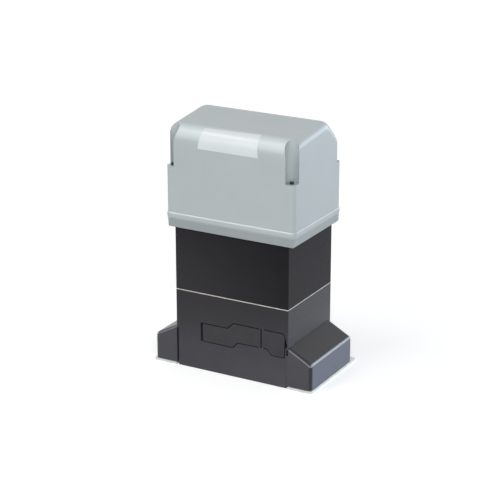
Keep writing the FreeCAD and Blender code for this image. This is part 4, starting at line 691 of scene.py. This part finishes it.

# Hood: one thick moulding in light grey ABS with a very fine matt grain. The bead round its
# foot and the bend over its front carry painted light, and the skirt under the bead painted shade.
# Four long screws in the corner pockets hold it down on the posts of the tray.
hood_abs = new_finish("hood_abs", (0.455, 0.505, 0.51), 0.38)
hood_abs.node_tree.nodes["Principled BSDF"].inputs["Specular IOR Level"].default_value = 0.6
hood_cloud = tinted(hood_abs, cloudy(hood_abs, 14.0), (0.435, 0.48, 0.485), (0.465, 0.51, 0.515))
hood_foot, hood_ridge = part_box("hood")[0][2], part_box("hood")[1][2]
skirt_top, bead_top = 0.2385, 0.2490
# Painted light and shade in bands by height: the skirt painted darker, the bead a touch lighter.
skirt_painted_shade, bead_painted_light, wall_shade = 0.74, 1.02, 1.0
bands = add(hood_abs, "ShaderNodeValToRGB")
band_edge = 0.004
for seam, under, over in ((skirt_top, skirt_painted_shade, bead_painted_light), (bead_top, bead_painted_light, wall_shade)):
    place = (seam - hood_foot) / (hood_ridge - hood_foot)
    bands.color_ramp.elements.new(place - band_edge).color = grey(under)
    bands.color_ramp.elements.new(place + band_edge).color = grey(over)
bands.color_ramp.elements[0].color = grey(skirt_painted_shade)
bands.color_ramp.elements[-1].color = grey(wall_shade)
hood_height = along_axes(hood_abs, on_object(hood_abs))["Z"]
hood_abs.node_tree.links.new(between(hood_abs, hood_height, hood_foot, hood_ridge), bands.inputs["Fac"])
shaded = add(hood_abs, "ShaderNodeMix", data_type="RGBA", blend_type="MULTIPLY")
shaded.inputs["Factor"].default_value = 1.0
hood_abs.node_tree.links.new(hood_cloud.outputs["Color"], shaded.inputs["A"])
hood_abs.node_tree.links.new(bands.outputs["Color"], shaded.inputs["B"])
# Painted highlight: the front bend, where the surface faces forward and up, is painted up to a third
# lighter.
hood_facing = facing(hood_abs)
lean = calculated(hood_abs, "MULTIPLY", hood_facing["Y"], hood_facing["Z"])
scaled(hood_abs, shaded.outputs["Result"], between(hood_abs, lean, -0.20, -0.50, 1.0, 1.34))
tinted(hood_abs, cloudy(hood_abs, 260.0), grey(0.35), grey(0.42), "Roughness")
relief(hood_abs, cloudy(hood_abs, 2200.0), 0.10, 0.0001)
dress(["hood"], hood_abs)

# Hood screws: steel with a black oxide finish, sunk in the corner pockets, where they stay with
# the hood when it is lifted.
black_oxide = new_finish("black_oxide", (0.020, 0.020, 0.022), 0.38, 0.6)
tinted(black_oxide, cloudy(black_oxide, 420.0), (0.014, 0.014, 0.015), (0.032, 0.032, 0.034))
relief(black_oxide, cloudy(black_oxide, 2600.0), 0.1, 0.0001)
dress(["hood_screws"], black_oxide)

# Blank field on the front bend of the hood: a slanted plate of lighter film. It is cut from the
# hood's own skin, so it follows the bend, and lies 0.3 mm proud of it.
field_film = new_finish("field_film", (0.70, 0.74, 0.74), 0.30)
tinted(field_film, cloudy(field_film, 30.0), (0.685, 0.725, 0.725), (0.715, 0.755, 0.755))
relief(field_film, cloudy(field_film, 1600.0), 0.06, 0.0001)
field_left_low, field_left_high = (-0.0522, 0.3532), (-0.0480, 0.3816)
field_right_low, field_right_high = (0.0491, 0.3533), (0.0452, 0.3830)
field_back_left, field_back_right = -0.0614, -0.0583
field_low, field_proud = 0.3532, 0.0003
field = bpy.data.objects.new("hood_blank_field", nodes["hood"].data.copy())
bpy.context.scene.collection.objects.link(field)
skin = bmesh.new()
skin.from_mesh(field.data)
bmesh.ops.remove_doubles(skin, verts=skin.verts, dist=weld_distance)
inner_skin = [f for f in skin.faces
              if not (f.normal.y < -0.02 or f.normal.z > 0.7) or abs(f.normal.x) > 0.5]
bmesh.ops.delete(skin, geom=inner_skin, context="FACES")
left_rise = (field_left_high[1] - field_left_low[1], field_left_high[0] - field_left_low[0])
right_rise = (field_right_high[1] - field_right_low[1], field_right_high[0] - field_right_low[0])
back_run = (field_right_high[0] - field_left_high[0], field_back_right - field_back_left)
for place, normal in (
    ((field_left_low[0], 0, field_left_low[1]), (-left_rise[0], 0, left_rise[1])),
    ((field_right_low[0], 0, field_right_low[1]), (right_rise[0], 0, -right_rise[1])),
    ((0, 0, field_low), (0, 0, -1.0)),
    ((field_left_high[0], field_back_left, 0), (-back_run[1], back_run[0], 0)),
):
    whole = skin.verts[:] + skin.edges[:] + skin.faces[:]
    bmesh.ops.bisect_plane(skin, geom=whole, plane_co=place, plane_no=normal, clear_outer=True)
bmesh.ops.recalc_face_normals(skin, faces=skin.faces)
for vert in skin.verts:
    outward = vert.normal if vert.normal.y < 0 or vert.normal.z > 0 else -vert.normal
    vert.co += outward * field_proud
skin.to_mesh(field.data)
skin.free()
field.data.materials.clear()
field.data.materials.append(field_film)
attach(field, "hood")

# Studio: a pale floor in a white surround. The camera and the reflections see both brighter
# than they light the motor: the surround plain white, and the floor with the motor's shadow on
# it, whiter away from it.
floor_mesh = bmesh.new()
floor_half = 6.0
bmesh.ops.create_grid(floor_mesh, x_segments=1, y_segments=1, size=floor_half)
floor_data = bpy.data.meshes.new("studio_floor")
floor_mesh.to_mesh(floor_data)
floor_mesh.free()
floor = bpy.data.objects.new("studio_floor", floor_data)
bpy.context.scene.collection.objects.link(floor)
floor_paint = new_finish("floor_paint", (0.50, 0.50, 0.50), 0.9)
floor.data.materials.append(floor_paint)


def seen_directly(tree, usual, special, output):
    """The special shader for the camera and for reflections, the usual one for all other light."""
    rays = tree.nodes.new("ShaderNodeLightPath")
    either = tree.nodes.new("ShaderNodeMath")
    either.operation = "MAXIMUM"
    tree.links.new(rays.outputs["Is Camera Ray"], either.inputs[0])
    tree.links.new(rays.outputs["Is Glossy Ray"], either.inputs[1])
    through = tree.nodes.new("ShaderNodeMath")
    through.operation = "MAXIMUM"
    tree.links.new(either.outputs["Value"], through.inputs[0])
    tree.links.new(rays.outputs["Is Transmission Ray"], through.inputs[1])
    mix = tree.nodes.new("ShaderNodeMixShader")
    tree.links.new(through.outputs["Value"], mix.inputs["Fac"])
    tree.links.new(usual, mix.inputs[1])
    tree.links.new(special, mix.inputs[2])
    tree.links.new(mix.outputs["Shader"], output.inputs["Surface"])


white_floor = add(floor_paint, "ShaderNodeBsdfDiffuse", Color=(0.82, 0.82, 0.82, 1.0))
glow = add(floor_paint, "ShaderNodeEmission")
away = add(floor_paint, "ShaderNodeVectorMath", operation="LENGTH")
floor_paint.node_tree.links.new(on_object(floor_paint), away.inputs["Vector"])
whiter = between(floor_paint, away.outputs["Value"], 0.7, 2.8, 0.45, 0.64)
floor_paint.node_tree.links.new(whiter, glow.inputs["Strength"])
lifted = add(floor_paint, "ShaderNodeAddShader")
floor_paint.node_tree.links.new(white_floor.outputs["BSDF"], lifted.inputs[0])
floor_paint.node_tree.links.new(glow.outputs["Emission"], lifted.inputs[1])
seen_directly(floor_paint.node_tree, floor_paint.node_tree.nodes["Principled BSDF"].outputs["BSDF"],
              lifted.outputs["Shader"], floor_paint.node_tree.nodes["Material Output"])

world = bpy.data.worlds.new("studio")
world.use_nodes = True
bpy.context.scene.world = world
soft_light = world.node_tree.nodes["Background"]
soft_light.inputs["Color"].default_value = (1.0, 1.0, 1.0, 1.0)
soft_light.inputs["Strength"].default_value = 0.40
white_surround = world.node_tree.nodes.new("ShaderNodeBackground")
white_surround.inputs["Color"].default_value = (1.0, 1.0, 1.0, 1.0)
white_surround.inputs["Strength"].default_value = 1.0
seen_directly(world.node_tree, soft_light.outputs["Background"], white_surround.outputs["Background"],
              world.node_tree.nodes["World Output"])

lamp_aim = Vector((0, 0, 0.2))
lamps = {
    "key_lamp": ((-1.0, -2.5, 2.1), (1.2, 1.2), 19.0, (1.0, 0.995, 0.97)),
    "side_lamp": ((1.7, -2.3, 1.2), (1.4, 1.4), 36.0, (0.92, 0.96, 1.0)),
    "edge_lamp": ((1.6, 2.2, 0.6), (2.4, 1.0), 36.0, (0.74, 0.86, 1.0)),
    "bend_lamp": ((-1.15, -0.82, 2.25), (0.9, 0.5), 10.0, (1.0, 0.995, 0.98)),
}
for lamp_name, (place, (width, height), power, tint) in lamps.items():
    lamp_data = bpy.data.lights.new(lamp_name, "AREA")
    lamp_data.shape = "RECTANGLE"
    lamp_data.size = width
    lamp_data.size_y = height
    lamp_data.energy = power
    lamp_data.color = tint
    lamp = bpy.data.objects.new(lamp_name, lamp_data)
    lamp.location = place
    lamp.rotation_euler = (lamp_aim - Vector(place)).to_track_quat("-Z", "Y").to_euler()
    bpy.context.scene.collection.objects.link(lamp)

# Camera: the photograph's angle, from the front and a little from the right and above, with a
# long lens, so that upright edges stay nearly parallel.
camera_target = Vector((-0.0068, 0.0, 0.1809))
camera_distance = 2.59
azimuth, elevation = math.radians(29.3), math.radians(19.35)
camera_data = bpy.data.cameras.new("photo_camera")
camera_data.lens = 122.6
camera_data.sensor_width = 36.0
camera_data.clip_end = 50.0
camera = bpy.data.objects.new("photo_camera", camera_data)
toward = Vector((math.sin(azimuth) * math.cos(elevation), -math.cos(azimuth) * math.cos(elevation),
                 math.sin(elevation)))
camera.location = camera_target + toward * camera_distance
camera.rotation_euler = (-toward).to_track_quat("-Z", "Y").to_euler()
bpy.context.scene.collection.objects.link(camera)
bpy.context.scene.camera = camera
bpy.context.scene.view_settings.view_transform = "Standard"
